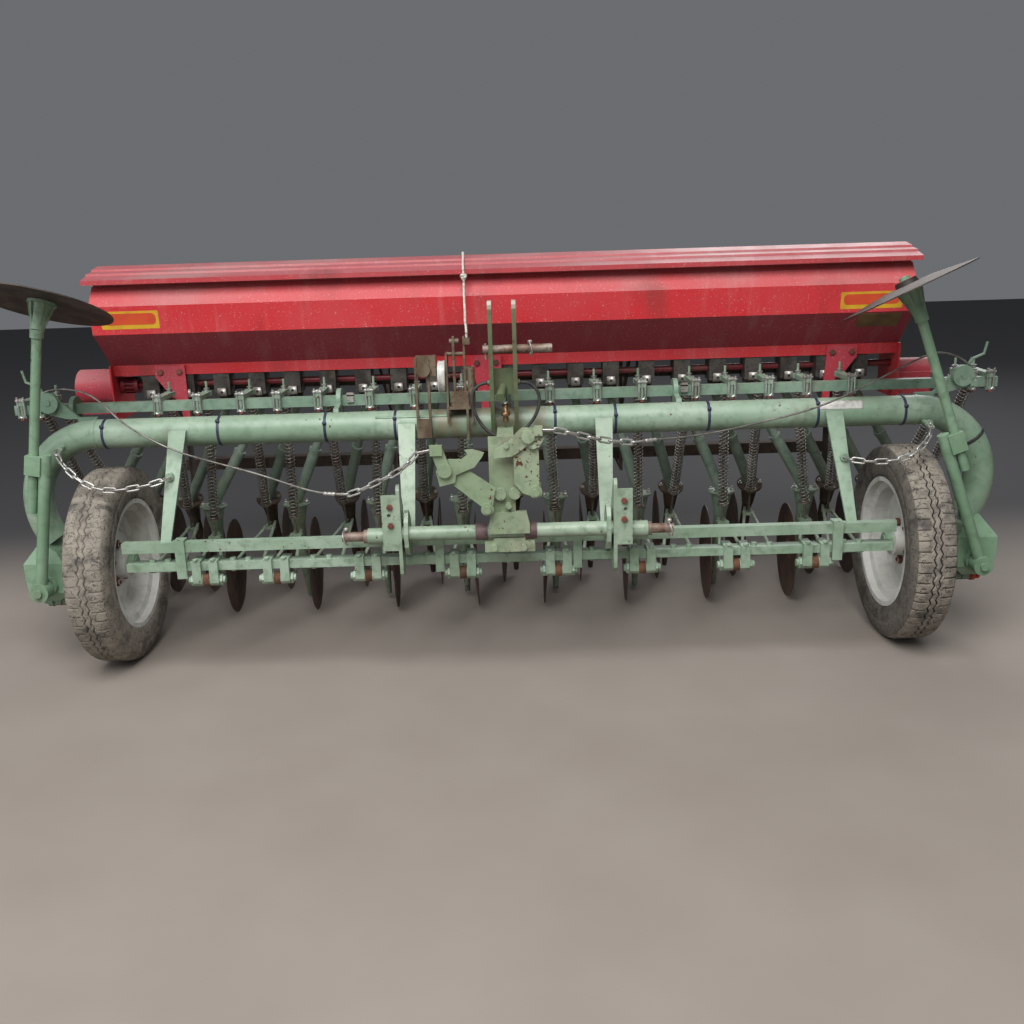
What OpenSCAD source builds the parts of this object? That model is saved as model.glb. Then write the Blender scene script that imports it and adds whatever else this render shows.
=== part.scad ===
// Mounted seed drill, 3 m wide, 21 rows of single disc coulters.
// X runs to the right as seen from the front, Y to the rear and Z up.
// Places along Y are measured from the wheel axle and moved by place().

/* [Portal frame] */
// Overall width across the outside of the portal legs
frame_w = 3000; // [2900:10:3100]
// Outer diameter of the portal tube
tube_d = 88.9; // [80:0.5:95]
// Height of the portal tube's centre
tube_z = 720; // [700:5:740]
// Radius of the portal tube's end bends
bend_r = 210; // [200:5:220]
// Angle below the horizontal at which a portal leg enters its axle housing
leg_dip = 35; // [30:1:40]
// Half length of the square front bar
front_bar_half = 1134; // [1110:2:1138]
// Side of the square front bar
front_bar_s = 30; // [28:1:34]
// Height of the square front bar's centre
front_bar_z = 414; // [408:1:420]
// Distance of the front bars ahead of the axle
front_bar_y = 200; // [195:1:205]
// Height of the coulter bar's section
coulter_bar_h = 24; // [20:1:28]
// Depth of the coulter bar's section
coulter_bar_w = 40; // [34:1:46]
// Height of the coulter bar's centre
coulter_bar_z = 354; // [348:1:358]

/* [Hitch] */
// Distance between the shoulders of the two lower link pins
link_spread = 825; // [800:5:850]
// Diameter of a lower link pin
link_pin_d = 28; // [26:0.5:30]
// Height of the lower link pins
link_pin_z = 446; // [440:1:452]
// Height of the top link pin
top_pin_z = 949; // [930:5:970]
// Diameter of the top link pin
top_pin_d = 25; // [22:0.5:26]
// Clear width between the two top link bars
top_gap = 58; // [52:1:64]
// Outer diameter of the round hitch tube
hitch_tube_d = 42; // [38:1:46]

/* [Wheels] */
// Outer diameter of a tyre
tyre_d = 610; // [600:2:620]
// Section width of a tyre
tyre_w = 132; // [124:2:138]
// Distance of a wheel's middle plane from the machine's middle
wheel_x = 1228; // [1224:1:1232]
// Diameter over the rim flange
rim_d = 412; // [400:2:420]
// Diameter of the stub axle
axle_d = 40; // [36:1:44]
// Radial running clearance of a bearing
run_gap = 0.05; // [0.03:0.01:0.1]

/* [Coulters] */
// Distance between neighbouring rows
row_pitch = 143; // [142:0.5:144]
// Diameter of a coulter disc
disc_d = 330; // [324:2:336]
// Toe angle of a coulter disc
disc_toe = 3; // [0:0.5:4]
// Distance of the front discs' centres behind the axle
front_disc_y = 385; // [380:5:395]
// Distance of the rear discs' centres behind the axle
rear_disc_y = 620; // [610:5:640]
// Outer diameter of a coulter spring
spring_d = 34; // [30:1:36]
// Diameter of a spring rod
spring_rod_d = 8; // [7:0.5:10]
// Distance between neighbouring seed outlets
outlet_pitch = 116; // [114:0.5:118]
// Diameter of the lower half of a seed tube
seed_tube_d = 36; // [34:1:38]

/* [Pressure bar] */
// Half length of the coulter pressure bar
pressure_half = 1530; // [1525:1:1535]
// Side of the pressure bar
pressure_s = 30; // [28:1:32]
// Height of the pressure bar's centre
pressure_z = 786; // [782:1:792]
// Distance of the pressure bar behind the axle
pressure_y = 100; // [96:1:104]

/* [Hopper] */
// Half length of the hopper
hopper_half = 1280; // [1270:2:1286]
// Thickness of the hopper's sheet
sheet = 3; // [2.5:0.5:4]
// Height of the hopper's rim
hopper_top = 1152; // [1146:1:1158]
// Height of the hopper's floor
hopper_floor = 896; // [890:1:900]
// Depth of the hopper's mouth from front to rear
hopper_depth = 450; // [430:5:470]
// Thickness of the lid's sheet
lid_sheet = 3; // [2.5:0.5:4]

/* [Row markers] */
// Diameter of a row marker's disc
marker_disc_d = 390; // [380:2:396]
// Lean of the left marker arm towards the machine's middle
marker_lean_left = 10; // [8:0.5:12]
// Lean of the right marker arm towards the machine's middle
marker_lean_right = 20; // [18:0.5:22]
// Outer diameter of a marker's lower tube
marker_sleeve_d = 34; // [32:1:38]
// Outer diameter of a marker's upper tube
marker_tube_d = 28; // [25:1:30]

/* [Hidden] */
$fn = 48;

green = [0.56, 0.70, 0.58];
red = [0.72, 0.14, 0.16];
rust = [0.45, 0.27, 0.20];
steel = [0.55, 0.54, 0.52];
rubber = [0.36, 0.33, 0.29];
rim_white = [0.83, 0.82, 0.76];
zinc = [0.70, 0.70, 0.68];
black = [0.10, 0.10, 0.10];
rope_white = [0.88, 0.87, 0.82];

row_count = 21;
middle_row = (row_count - 1) / 2;
footboard_rear = 985;
foremost = 344;
axle_y = -(footboard_rear - foremost) / 2;
axle_z = tyre_d / 2;
leg_x = frame_w / 2 - tube_d / 2;
bend_x = leg_x - bend_r;
bend_z = tube_z - bend_r;
leg_end_x = bend_x + bend_r * cos(leg_dip);
leg_end_z = bend_z - bend_r * sin(leg_dip);
front_y = -front_bar_y;
seat = 0.3;

// Rows are numbered from 0 at the left to 20 at the right.
// Each entry: the place along X of a row's front hinge, then of its pressure casting
hang = [[-1427, -1503], [-1427, -1445], [-1030, -1080], [-893, -956], [-792, -821], [-684, -708],
    [-554, -580], [-414, -420], [-264, -282], [-135, -138], [22, 0], [146, 140], [268, 287], [392, 427],
    [509, 593], [668, 705], [745, 820], [900, 938], [1009, 1075], [1427, 1445], [1427, 1503]];
function row_x(k) = (k - middle_row) * row_pitch;
function is_outer(k) = k <= 1 || k >= row_count - 2;
function is_front(k) = k % 2 == 1 && !is_outer(k);
function side_of(k) = k < middle_row ? -1 : 1;
function hinge_x(k) = hang[k][0];
function casting_x(k) = hang[k][1];
front_rows = [for (k = [0:row_count - 1]) if (is_front(k)) k];
rear_rows = [for (k = [0:row_count - 1]) if (!is_front(k)) k];
inner_rear_rows = [for (k = rear_rows) if (!is_outer(k)) k];
outer_rows = [for (k = rear_rows) if (is_outer(k)) k];

// Places of a row's disc and of its boot's round flange
function coulter_y(k) = is_front(k) ? front_disc_y : rear_disc_y;
function flange_y(k) = coulter_y(k) - (is_front(k) ? 55 : 90);
function flange_z(k) = is_front(k) ? 403 : 375;
disc_z = disc_d / 2;
disc_in = 14;
boot_out = 16;
function disc_x(k) = row_x(k) - side_of(k) * disc_in;
function boot_x(k) = row_x(k) + side_of(k) * boot_out;

module place() {
    translate([0, axle_y, 0]) children();
}

module both() {
    children();
    mirror([1, 0, 0]) children();
}

// A round rod from point a to point b, its diameter may change along it
module rod(a, b, d1, d2 = 0) {
    v = b - a;
    l = norm(v);
    translate(a)
        rotate([0, acos(v[2] / l), atan2(v[1], v[0])])
            cylinder(h = l, d1 = d1, d2 = d2 == 0 ? d1 : d2);
}

module x_cyl(x0, x1, y, z, d) {
    translate([min(x0, x1), y, z]) rotate([0, 90, 0]) cylinder(h = abs(x1 - x0), d = d);
}

module y_cyl(y0, y1, x, z, d) {
    translate([x, max(y0, y1), z]) rotate([90, 0, 0]) cylinder(h = abs(y1 - y0), d = d);
}

module box(x0, x1, y0, y1, z0, z1) {
    translate([x0, y0, z0]) cube([x1 - x0, y1 - y0, z1 - z0]);
}

// An outline in the Y and Z plane, carried along X from x0 to x1
module along_x(x0, x1) {
    translate([x0, 0, 0]) rotate([90, 0, 90]) linear_extrude(x1 - x0) children();
}

// An outline in the X and Z plane, carried along Y from y0 to y1
module along_y(y0, y1) {
    translate([0, y1, 0]) rotate([90, 0, 0]) linear_extrude(y1 - y0) children();
}

// Portal frame
module portal_tube() {
    color(green) place() {
        x_cyl(-bend_x + 0.2, bend_x - 0.2, 0, tube_z, tube_d);
        both() {
            tube_bend(tube_d);
            x_cyl(bend_x - 4, bend_x + 4, 0, tube_z, tube_d + 3);
        }
    }
}

module tube_bend(d) {
    translate([bend_x, 0, bend_z])
        rotate([90, 0, 0])
            rotate([0, 0, -leg_dip])
                rotate_extrude(angle = 90 + leg_dip) translate([bend_r, 0]) circle(d = d);
}

// The space that pieces seated on the portal tube leave for it
module tube_space() {
    x_cyl(-bend_x + 1, bend_x - 1, 0, tube_z, tube_d + 2 * seat);
    both() tube_bend(tube_d + 2 * seat);
}

housing_in = 1378;
housing_out = frame_w / 2 - 2;
housing_top = leg_end_z + 10;
housing_bottom = 206;
housing_half_y = 78;
module axle_housings() {
    color(green) place() both() {
        difference() {
            along_y(-housing_half_y, housing_half_y)
                polygon([[housing_in, housing_bottom + 26], [housing_in + 30, housing_bottom],
                    [housing_out - 34, housing_bottom], [housing_out - 8, housing_bottom + 14],
                    [housing_out, housing_bottom + 80], [housing_out, housing_bottom + 128],
                    [housing_out - 52, housing_top], [housing_in + 18, housing_top - 34],
                    [housing_in, housing_top - 66]]);
            tube_bend(tube_d + 2 * seat);
            both_y() along_x(housing_in - 1, housing_out + 1)
                polygon([[housing_half_y - 26, housing_top + 1], [housing_half_y + 1, housing_top + 1],
                    [housing_half_y + 1, housing_bottom + 124]]);
            both_y() along_x(housing_in - 1, housing_out + 1)
                polygon([[housing_half_y - 22, housing_bottom - 1], [housing_half_y + 1,
                    housing_bottom + 34],
                    [housing_half_y + 1, housing_bottom - 1]]);
        }
        stub_axle();
        outer_coulter_lug();
        marker_pivot_lug();
    }
}

module both_y() {
    children();
    mirror([0, 1, 0]) children();
}

hub_half = 42;
hub_centre_x = wheel_x + 14;
axle_in_x = hub_centre_x - hub_half - 26;
module stub_axle() {
    x_cyl(axle_in_x, housing_in + 6, 0, axle_z, axle_d);
    x_cyl(hub_centre_x + hub_half + seat, housing_in + 1, 0, axle_z, axle_d + 22);
    x_cyl(axle_in_x + 4, hub_centre_x - hub_half - seat, 0, axle_z, axle_d + 16);
}

lug_z = 186;
lug_in_x = 1384;
lug_out_x = 1470;
lug_pin_d = 16;
module outer_coulter_lug() {
    for (x = [lug_in_x, lug_out_x - 14])
        along_x(x, x + 14)
            union() {
                translate([0, lug_z]) circle(d = 34);
                translate([-17, lug_z]) square([34, housing_bottom - lug_z + 1]);
            }
    x_cyl(lug_in_x - 16, lug_out_x + 16, 0, lug_z, lug_pin_d);
}

marker_pivot_z = 262;
marker_pivot_x = 1430;
marker_y = -128;
marker_pin_d = 24;
marker_boss_w = 44;
module marker_pivot_lug() {
    y_cyl(-housing_half_y + 1, marker_y + marker_boss_w / 2 + 6, marker_pivot_x, marker_pivot_z, 62);
    y_cyl(-housing_half_y + 1, marker_y - marker_boss_w / 2 - 10, marker_pivot_x, marker_pivot_z,
        marker_pin_d);
}

// Square front bar, its hanging straps and the end struts from the portal tube with an eye each
strut_t = 8;
strut_top_w = 52;
end_strut = [985, 1006, 30];
inner_strut = [296, 290, 35];
eye_z = 606;
chain_eye_x = 1000;
// Each entry: place along X and width of a strap
straps = [[962, 29], [202, 25]];
// Each entry: X and Z of the bolt on the portal tube that holds a marker chain
chain_bolts = [[-1338, 690], [1262, 690]];
module front_bar() {
    color(green) place() {
        both() box(side_plate_x + side_plate_t / 2, front_bar_half, front_y - front_bar_s / 2,
            front_y + front_bar_s / 2, front_bar_z - front_bar_s / 2, front_bar_z + front_bar_s / 2);
        box(-side_plate_x + side_plate_t / 2, side_plate_x - side_plate_t / 2, front_y - front_bar_s / 2,
            front_y + front_bar_s / 2, front_bar_z - front_bar_s / 2, front_bar_z + front_bar_s / 2);
        both() {
            for (p = straps) strap(p[0], p[1]);
            difference() {
                strut_plate(end_strut, front_bar_z + front_bar_s / 2 - 1);
                tube_space();
            }
            y_cyl(-106, -128, chain_eye_x, eye_z, 24);
        }
        difference() {
            for (b = chain_bolts) {
                y_cyl(-20, -78, b[0], b[1], 14);
                y_cyl(-70, -78, b[0], b[1], 24);
            }
            tube_space();
        }
    }
}

// A strap hooks over the front bar and hangs in front of the coulter bar
module strap(x, w) {
    top = front_bar_z + front_bar_s / 2;
    face = front_y - front_bar_s / 2;
    box(x - w / 2, x + w / 2, face - 8, face, coulter_bar_z - 34, top + 8);
    box(x - w / 2, x + w / 2, face - 1, front_y + front_bar_s / 2, top - 1, top + 8);
}

// A strut runs from the tube's front face down and forward to the top of the front bar.
// p holds X at its top, X at its foot and the foot's width, and z0 is where the foot ends.
module strut_plate(p, z0) {
    a = [0, -tube_d / 2 - strut_t / 2 + 1, tube_z + 12];
    b = [0, front_y + front_bar_s / 2 - 12, front_bar_z + front_bar_s / 2 + strut_t / 2 - 1];
    v = b - a;
    l = norm(v);
    intersection() {
        translate([0, a[1], a[2]])
            rotate([atan2(v[2], v[1]) + 90, 0, 0])
                translate([0, strut_t / 2, 0]) rotate([90, 0, 0]) linear_extrude(strut_t)
                    polygon([[p[0] - strut_top_w / 2, 0], [p[0] + strut_top_w / 2, 0],
                        [p[1] + p[2] / 2, -l - 6], [p[1] - p[2] / 2, -l - 6]]);
        box(p[0] - 40, p[0] + 60, -400, 100, z0, tube_z + 12);
    }
}

// Hitch frame: two struts from the portal tube, each with an ear plate that joins the front bar
// to the round hitch tube, and the link brackets
side_plate_x = 288;
side_plate_t = 12;
hitch_y = -270;
hitch_z = 452;
link_plate_x = 301;
pin_y = hitch_y + 6;
weld_ring_x = [-74, 66];
module hitch_frame() {
    color(green) place() {
        both() {
            along_x(side_plate_x - side_plate_t / 2, side_plate_x + side_plate_t / 2) ear_outline();
            difference() {
                strut_plate(inner_strut, front_bar_z + front_bar_s / 2);
                tube_space();
            }
            link_bracket();
        }
        x_cyl(-side_plate_x, side_plate_x, hitch_y, hitch_z, hitch_tube_d);
        for (x = weld_ring_x) x_cyl(x - 18, x + 18, hitch_y, hitch_z, hitch_tube_d + 5);
    }
}

// Ear plate seen from the side: a rounded plate around the front bar and the hitch tube
module ear_outline() {
    polygon([[front_y + 20, 396], [front_y + 18, 424], [front_y + 4, 452], [front_y - 8, 484],
        [hitch_y + 34, 508], [hitch_y + 16, 519], [hitch_y - 4, 514], [hitch_y - 22, 492],
        [hitch_y - 32, hitch_z + 6], [hitch_y - 29, hitch_z - 32], [hitch_y - 10, 394],
        [hitch_y + 26, 381], [front_y - 14, 379], [front_y + 12, 384]]);
}

// Lower link bracket outside an ear plate: a thin upright plate, an angle and the pin's socket
socket_d = 47;
pin_root_d = 32;
module link_bracket() {
    difference() {
        union() {
            along_x(link_plate_x, link_plate_x + 10)
                polygon([[hitch_y - 30, 412], [hitch_y - 30, 586], [hitch_y - 24, 598], [hitch_y - 16, 602],
                    [hitch_y - 6, 596], [front_y - 18, 520], [front_y - 18, 430], [hitch_y + 28, 334],
                    [hitch_y + 6, 326], [hitch_y - 16, 328], [hitch_y - 26, 340]]);
            box(link_plate_x + 9, link_plate_x + 53, hitch_y - 30, hitch_y - 20, 411, 573);
            box(link_plate_x + 9, link_plate_x + 53, hitch_y - 21, front_y - 18, 411, 421);
            x_cyl(side_plate_x, link_plate_x + 1, hitch_y, hitch_z, hitch_tube_d);
            x_cyl(link_plate_x + 9, link_spread / 2 - 12, pin_y, link_pin_z, socket_d);
        }
        y_cyl(hitch_y - 40, hitch_y - 10, link_plate_x + 33, 515, 11);
        x_cyl(link_plate_x + 24, link_spread / 2 + 1, pin_y, link_pin_z, pin_root_d + 0.2);
    }
}

module coulter_bar() {
    color(green) place() {
        bar_solid();
        for (k = inner_rear_rows) for (s = [-1, 1])
            translate([hinge_x(k) + s * 23, front_y + 2, coulter_bar_z - coulter_bar_h / 2 - 7])
                cylinder(h = coulter_bar_h + 16, d = 18);
    }
}

module bar_solid() {
    box(-1126, 1126, front_y - coulter_bar_w / 2 + 5, front_y + coulter_bar_w / 2 + 5,
        coulter_bar_z - coulter_bar_h / 2, coulter_bar_z + coulter_bar_h / 2);
}

// Lower link pins with a shoulder and a cross hole each, and the top link pin with its linch pin
module hitch_pins() {
    color(rust) place() {
        both() difference() {
            union() {
                x_cyl(link_spread / 2 - 1, link_spread / 2 + 62, pin_y, link_pin_z, link_pin_d);
                x_cyl(link_plate_x + 26, link_spread / 2 - 1, pin_y, link_pin_z, pin_root_d);
                x_cyl(link_spread / 2 - 11.7, link_spread / 2, pin_y, link_pin_z, link_pin_d + 12);
            }
            translate([link_spread / 2 + 52, pin_y, link_pin_z - 24]) cylinder(h = 48, d = 9);
        }
        x_cyl(top_gap / 2 + top_bar_t, 144, top_bar_y, top_pin_z, top_pin_d);
        x_cyl(-58, top_gap / 2 + top_bar_t, top_bar_y, top_pin_z, top_pin_d - 0.4);
        translate([-50, top_bar_y, top_pin_z - 28]) cylinder(h = 46, d = 7);
    }
}

// Top link bars stand on the portal tube
top_bar_t = 12;
top_bar_y = -80;
hose_end_x = 48;
hose_end_y = -70;
hose_end_z = 850;
module top_link_bars() {
    color(green) place() {
        for (s = [-1, 1])
            difference() {
                along_x(s * (top_gap + top_bar_t) / 2 - top_bar_t / 2,
                    s * (top_gap + top_bar_t) / 2 + top_bar_t / 2)
                    polygon([[top_bar_y - 30, 1078], [top_bar_y - 24, 1088], [top_bar_y + 24, 1088],
                        [top_bar_y + 30, 1078], [top_bar_y + 34, 830], [20, tube_z + 30],
                        [20, tube_z - 10], [-60, tube_z - 30], [top_bar_y - 14, 800]]);
                tube_space();
                x_cyl(-100, 100, top_bar_y, top_pin_z, top_pin_d + 0.2);
            }
        box(-top_gap / 2 - 1, top_gap / 2 + 1, top_bar_y + 26, top_bar_y + 34, 812, 890);
        rod([-12, -112, 811], [6, 30, 862], 26);
        both() x_cyl(top_gap / 2 + top_bar_t - 1, hose_end_x, hose_end_y, hose_end_z, 18);
    }
}

// Centre plate: an upright plate on the hitch tube with a skirt and the latches' pivots
plate_y = -290;
// Each entry: X, Z and diameter of a roller or bolt on the plate
plate_pins = [[-17, 569, 33], [23, 570, 33], [5, 535, 18], [-39, 411, 18], [45, 411, 18]];
latch_pins = [[-54, 531, 22], [82, 577, 22]];
module centre_plate() {
    color(green) place() {
        difference() {
            union() {
                box(-47, 25, plate_y, plate_y + 10, hitch_z, 730);
                along_y(plate_y - 10, plate_y + 10)
                    polygon([[-46, 515], [55, 515], [63, 480], [63, hitch_z], [-51, hitch_z], [-51, 480]]);
                box(-66, 77, plate_y + 2, plate_y + 12, 395, 427);
                box(-40, 50, plate_y + 2, plate_y + 12, 400, hitch_z + 2);
                box(-24, 24, plate_y + 8, -tube_d / 2 + 6, 704, 714);
                box(24, 98, plate_y, plate_y + 8, 560, 596);
                box(-72, -46, plate_y, plate_y + 8, 514, 548);
            }
            x_cyl(weld_ring_x[0] - 18, weld_ring_x[1] + 18, hitch_y, hitch_z, hitch_tube_d + 5 + 2 * seat);
            tube_space();
        }
        for (p = plate_pins) y_cyl(plate_y + 4, plate_y - 17, p[0], p[1], p[2]);
        for (p = latch_pins) y_cyl(plate_y + 4, plate_y - 44, p[0], p[1], p[2]);
    }
}

// The latch levers of the row markers: a broad plate, a hooked claw and a clevis for the chain
latch_y = plate_y - 26;
module latches() {
    color(green) place() difference() {
        union() {
            latch_left();
            latch_right();
        }
        for (p = latch_pins) y_cyl(plate_y + 4, plate_y - 60, p[0], p[1], p[2] + 2 * seat);
    }
}

module latch_left() {
    along_y(latch_y, latch_y + 8)
        polygon([[-154, 608], [-137, 636], [-101, 642], [-30, 590], [-38, 540], [-66, 534], [-80, 546]]);
    y_cyl(latch_y + 8, latch_y - 8, latch_pins[0][0], latch_pins[0][1], 36);
    y_cyl(latch_y + 8, latch_y - 22, -168, 648, 40);
    lever([-168, 648], [-186, 700], 34, latch_y - 19, 10);
    box(-206, -172, latch_y - 28, latch_y - 10, 692, 720);
    along_y(latch_y - 9, latch_y + 1)
        polygon([[-193, 645], [-184, 601], [-141, 611], [-137, 633], [-86, 653], [-64, 681], [-58, 693],
            [-91, 703], [-111, 702], [-104, 689], [-121, 676], [-156, 677], [-176, 668]]);
}

module latch_right() {
    along_y(latch_y, latch_y + 8)
        polygon([[23, 602], [44, 574], [64, 566], [90, 576], [93, 610], [93, 700], [80, 740], [48, 740],
            [23, 704]]);
    y_cyl(latch_y + 8, latch_y - 8, latch_pins[1][0], latch_pins[1][1], 36);
    along_y(latch_y - 9, latch_y + 1)
        polygon([[-33, 676], [-28, 701], [7, 718], [29, 742], [47, 759], [78, 758], [92, 744], [109, 729],
            [95, 705], [74, 698], [60, 709], [38, 692], [17, 680]]);
    y_cyl(latch_y + 8, latch_y - 22, 64, 736, 36);
    y_cyl(latch_y - 4, latch_y - 18, 4, 712, 15);
    y_cyl(latch_y - 4, latch_y - 18, 80, 708, 13);
    box(80, 104, latch_y - 20, latch_y - 2, 738, 764);
}

// A flat lever with round ends between two points of the X and Z plane
module lever(a, b, w, y, t) {
    h = atan2(b[1] - a[1], b[0] - a[0]);
    along_y(y, y + t)
        polygon(concat([for (i = [90:15:270]) a + [cos(h + i), sin(h + i)] * w / 2],
            [for (i = [-90:15:90]) b + [cos(h + i), sin(h + i)] * w / 2]));
}

// Marker changeover unit on top of the portal tube, with the block that holds the lid's rope
module changeover_unit() {
    color(rust) place() {
        difference() {
            union() {
                box(-263, -219, -66, -40, 690, 744);
                box(-171, -92, -66, 20, 773, 780);
                for (x = [-171, -98]) box(x, x + 6, -66, -40, 731, 774);
                box(-114, -107, -66, -40, 683, 774);
                box(-150, -106, -24, 24, 750, 774);
            }
            tube_space();
        }
        for (x = [-263, -226]) box(x, x + 7, -64, -46, 743, 926);
        box(-259, -199, -60, -24, 874, 932);
        y_cyl(-76, -40, -236, 893, 40);
        box(-171, -165, -60, -8, 779, 938);
        x_cyl(-194, -174, -30, 868, 92);
        x_cyl(-200, -160, -30, 868, 16);
        box(-150, -143, -44, -18, 779, 985);
        box(-118, -112, -44, -20, 779, 985);
        x_cyl(-158, -130, -30, 971, 16);
        x_cyl(-167, -114, -32, 934, 12);
        box(-158, -106, -52, -8, 779, 824);
        translate([-97, -40, 779]) cylinder(h = 116, d = 22);
        box(-118, -92, -44, -36, 890, 897);
        box(-116, -97, -47, -29, 962, 980);
    }
}

// Coulter clamps: straps around the bar and down to a row's hinge tube, or a shelf behind the bar
clamp_d = 22;
function hinge_y(k) = is_outer(k) ? 0 : is_front(k) ? front_y - 8 : front_y + 52;
function hinge_z(k) = is_outer(k) ? lug_z : is_front(k) ? 311 : 330;
hinge_half = 54;
module coulter_clamps() {
    color(green) place() {
        for (k = front_rows) {
            for (s = [-1, 1]) translate([hinge_x(k) + s * 25, 0, 0]) {
                box(-13, 13, front_y - 28, front_y - coulter_bar_w / 2 + 5, 306,
                    coulter_bar_z + coulter_bar_h / 2 + 8);
                box(-13, 13, front_y - 28, front_y + 30, coulter_bar_z + coulter_bar_h / 2,
                    coulter_bar_z + coulter_bar_h / 2 + 8);
            }
            barrel(k, 0);
            hinge_tube(k);
        }
        for (k = inner_rear_rows) {
            box(hinge_x(k) - 16, hinge_x(k) + 16, front_y + 12, hinge_y(k),
                coulter_bar_z - coulter_bar_h / 2 - 10,
                coulter_bar_z - coulter_bar_h / 2);
            hinge_tube(k);
        }
    }
}

module hinge_tube(k) {
    x_cyl(hinge_x(k) - hinge_half, hinge_x(k) + hinge_half, hinge_y(k), hinge_z(k), clamp_d);
}

// Coulter arms: a V of two thin rods from the hinge tube to the boot, with a foot for the spring rod
arm_d = 11;
function arm_front(k) = [hinge_x(k), hinge_y(k), hinge_z(k)];
function arm_rear(k) = [boot_x(k), flange_y(k) + (is_front(k) ? -6 : 30), flange_z(k) - 98];
function arm_at(k,
    y) = arm_front(k) + (arm_rear(k) - arm_front(k)) * (y - hinge_y(k)) / (arm_rear(k)[1] - hinge_y(k));
function foot_y(k) = is_outer(k) ? 462 : is_front(k) ? 258 : 440;
function outer_shift(k) = k == 0 || k == row_count - 1 ? side_of(k) * 14.5 : -side_of(k) * 13;
arm_spread = 46;
module coulter_arms() {
    color(green) place() difference() {
        for (k = [0:row_count - 1]) {
            a = arm_front(k) + (is_outer(k) ? [outer_shift(k), 0, 0] : [0, 0, 0]);
            w = is_outer(k) ? 6 : arm_spread;
            b = arm_rear(k);
            f = arm_at(k, foot_y(k));
            for (s = [-1, 1]) rod(a + [s * w, 0, 0], b + [s * 8, 0, 0], arm_d);
            translate(f + [is_outer(k) ? outer_shift(k) * 0.1 : 0, 0, -4]) box(-20, 20, -14, 14, 0, 10);
            translate(a) x_cyl(-w - 6, w + 6, 0, 0, is_outer(k) ? 30 : arm_d);
        }
        for (k = concat(front_rows, inner_rear_rows)) hinge_tube_space(k);
        for (k = front_rows) barrel(k, seat);
        both() x_cyl(lug_in_x - 20, lug_out_x + 20, 0, lug_z, lug_pin_d + 2 * seat);
        for (k = [0:row_count - 1]) boot_stem(k, 2 * seat);
    }
}

module barrel(k, grow) {
    x_cyl(hinge_x(k) - 38 - grow, hinge_x(k) + 38 + grow, front_y - 8, hinge_z(k), 36 + 2 * grow);
}

module hinge_tube_space(k) {
    x_cyl(hinge_x(k) - hinge_half - 20, hinge_x(k) + hinge_half + 20, hinge_y(k), hinge_z(k),
        clamp_d + 2 * seat);
}

// Boots: a round flange, a tapered cup and a shank down beside the disc, with the disc's pin.
// The rear boots' flanges lean forward to meet their seed tubes.
pin_d = 20;
hub_w = 22;
flange_d = 88;
flange_t = 8;
function flange_tilt(k) = is_front(k) ? 0 : 26;
module boot_stem(k, grow) {
    x = boot_x(k);
    y = flange_y(k);
    z = flange_z(k);
    back = is_front(k) ? 10 : 27;
    cup = is_front(k) ? 72 : 62;
    neck = is_front(k) ? 44 : 40;
    rod([x, y + back, z - 80], [x, y, z - (is_front(k) ? 7 : 4)], neck + grow, cup + grow);
    rod([x, coulter_y(k) + 2, disc_z - 6], [x, y + back, z - 76], 34 + grow,
        neck + grow - (is_front(k) ? 0 : 5));
}

module flange_frame(k) {
    translate([boot_x(k), flange_y(k), flange_z(k) - flange_t / 2]) rotate([flange_tilt(k), 0,
        0]) children();
}

module boot(k) {
    x = boot_x(k);
    s = side_of(k);
    flange_frame(k) cylinder(h = flange_t, d = flange_d, center = true);
    boot_stem(k, 0);
    rod([x + s * 2, coulter_y(k) + 66, 24], [x, coulter_y(k), disc_z], 18, 34);
    pin_frame(k) {
        translate([0, 0, -hub_w / 2 - 10]) cylinder(h = disc_in + boot_out + hub_w / 2 + 10, d = pin_d);
        translate([0, 0, -hub_w / 2 - 10]) cylinder(h = 10 - seat, d = pin_d + 14);
        translate([0, 0, hub_w / 2 + seat]) cylinder(h = 8, d = pin_d + 12);
    }
}

// The disc's axis, pointing outboard and toed a little
module pin_frame(k) {
    translate([disc_x(k), coulter_y(k), disc_z])
        rotate([0, 0, -side_of(k) * disc_toe])
            rotate([0, side_of(k) * 90, 0]) children();
}

module front_boots() {
    color(green) place() for (k = front_rows) boot(k);
}

module rear_boots() {
    color(rust) place() for (k = rear_rows) boot(k);
}

// A dished disc on its hub, bored to run on the boot's pin
module coulter_disc(k) {
    color(rust) place() pin_frame(k) mirror([0, 0, 1])
        difference() {
            rotate_extrude($fn = 96)
                polygon([[0, -hub_w / 2], [34, -hub_w / 2], [38, -4], [60, -2], [disc_d / 2, 9],
                    [disc_d / 2, 11], [58, 3], [40, 3], [30, hub_w / 2], [0, hub_w / 2]]);
            translate([0, 0, -hub_w]) cylinder(h = hub_w * 2, d = pin_d + 2 * run_gap);
        }
}

// Pressure bar with its bearing rings and the arms that carry it on the portal tube
ring_x = [-1345, -515, 530, 1345];
carrier_x = [-515, 530];
pulley_x = 1390;
pulley_z = 818;
pulley_d = 64;
module pressure_bar() {
    color(green) place() {
        box(-pressure_half, pressure_half, pressure_y - pressure_s / 2, pressure_y + pressure_s / 2,
            pressure_z - pressure_s / 2, pressure_z + pressure_s / 2);
        for (x = ring_x) x_cyl(x - 7, x + 7, pressure_y, pressure_z, 76);
        difference() {
            for (x = carrier_x) along_x(x - 8, x + 8)
                polygon([[-12, tube_z], [30, tube_z], [pressure_y - 16, pressure_z - 26],
                    [pressure_y + 10, pressure_z - 16], [pressure_y - 14, pressure_z + 10],
                    [pressure_y - 30, pressure_z - 4], [10, tube_z + 54]]);
            tube_space();
        }
        both() end_carrier();
    }
}

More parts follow.
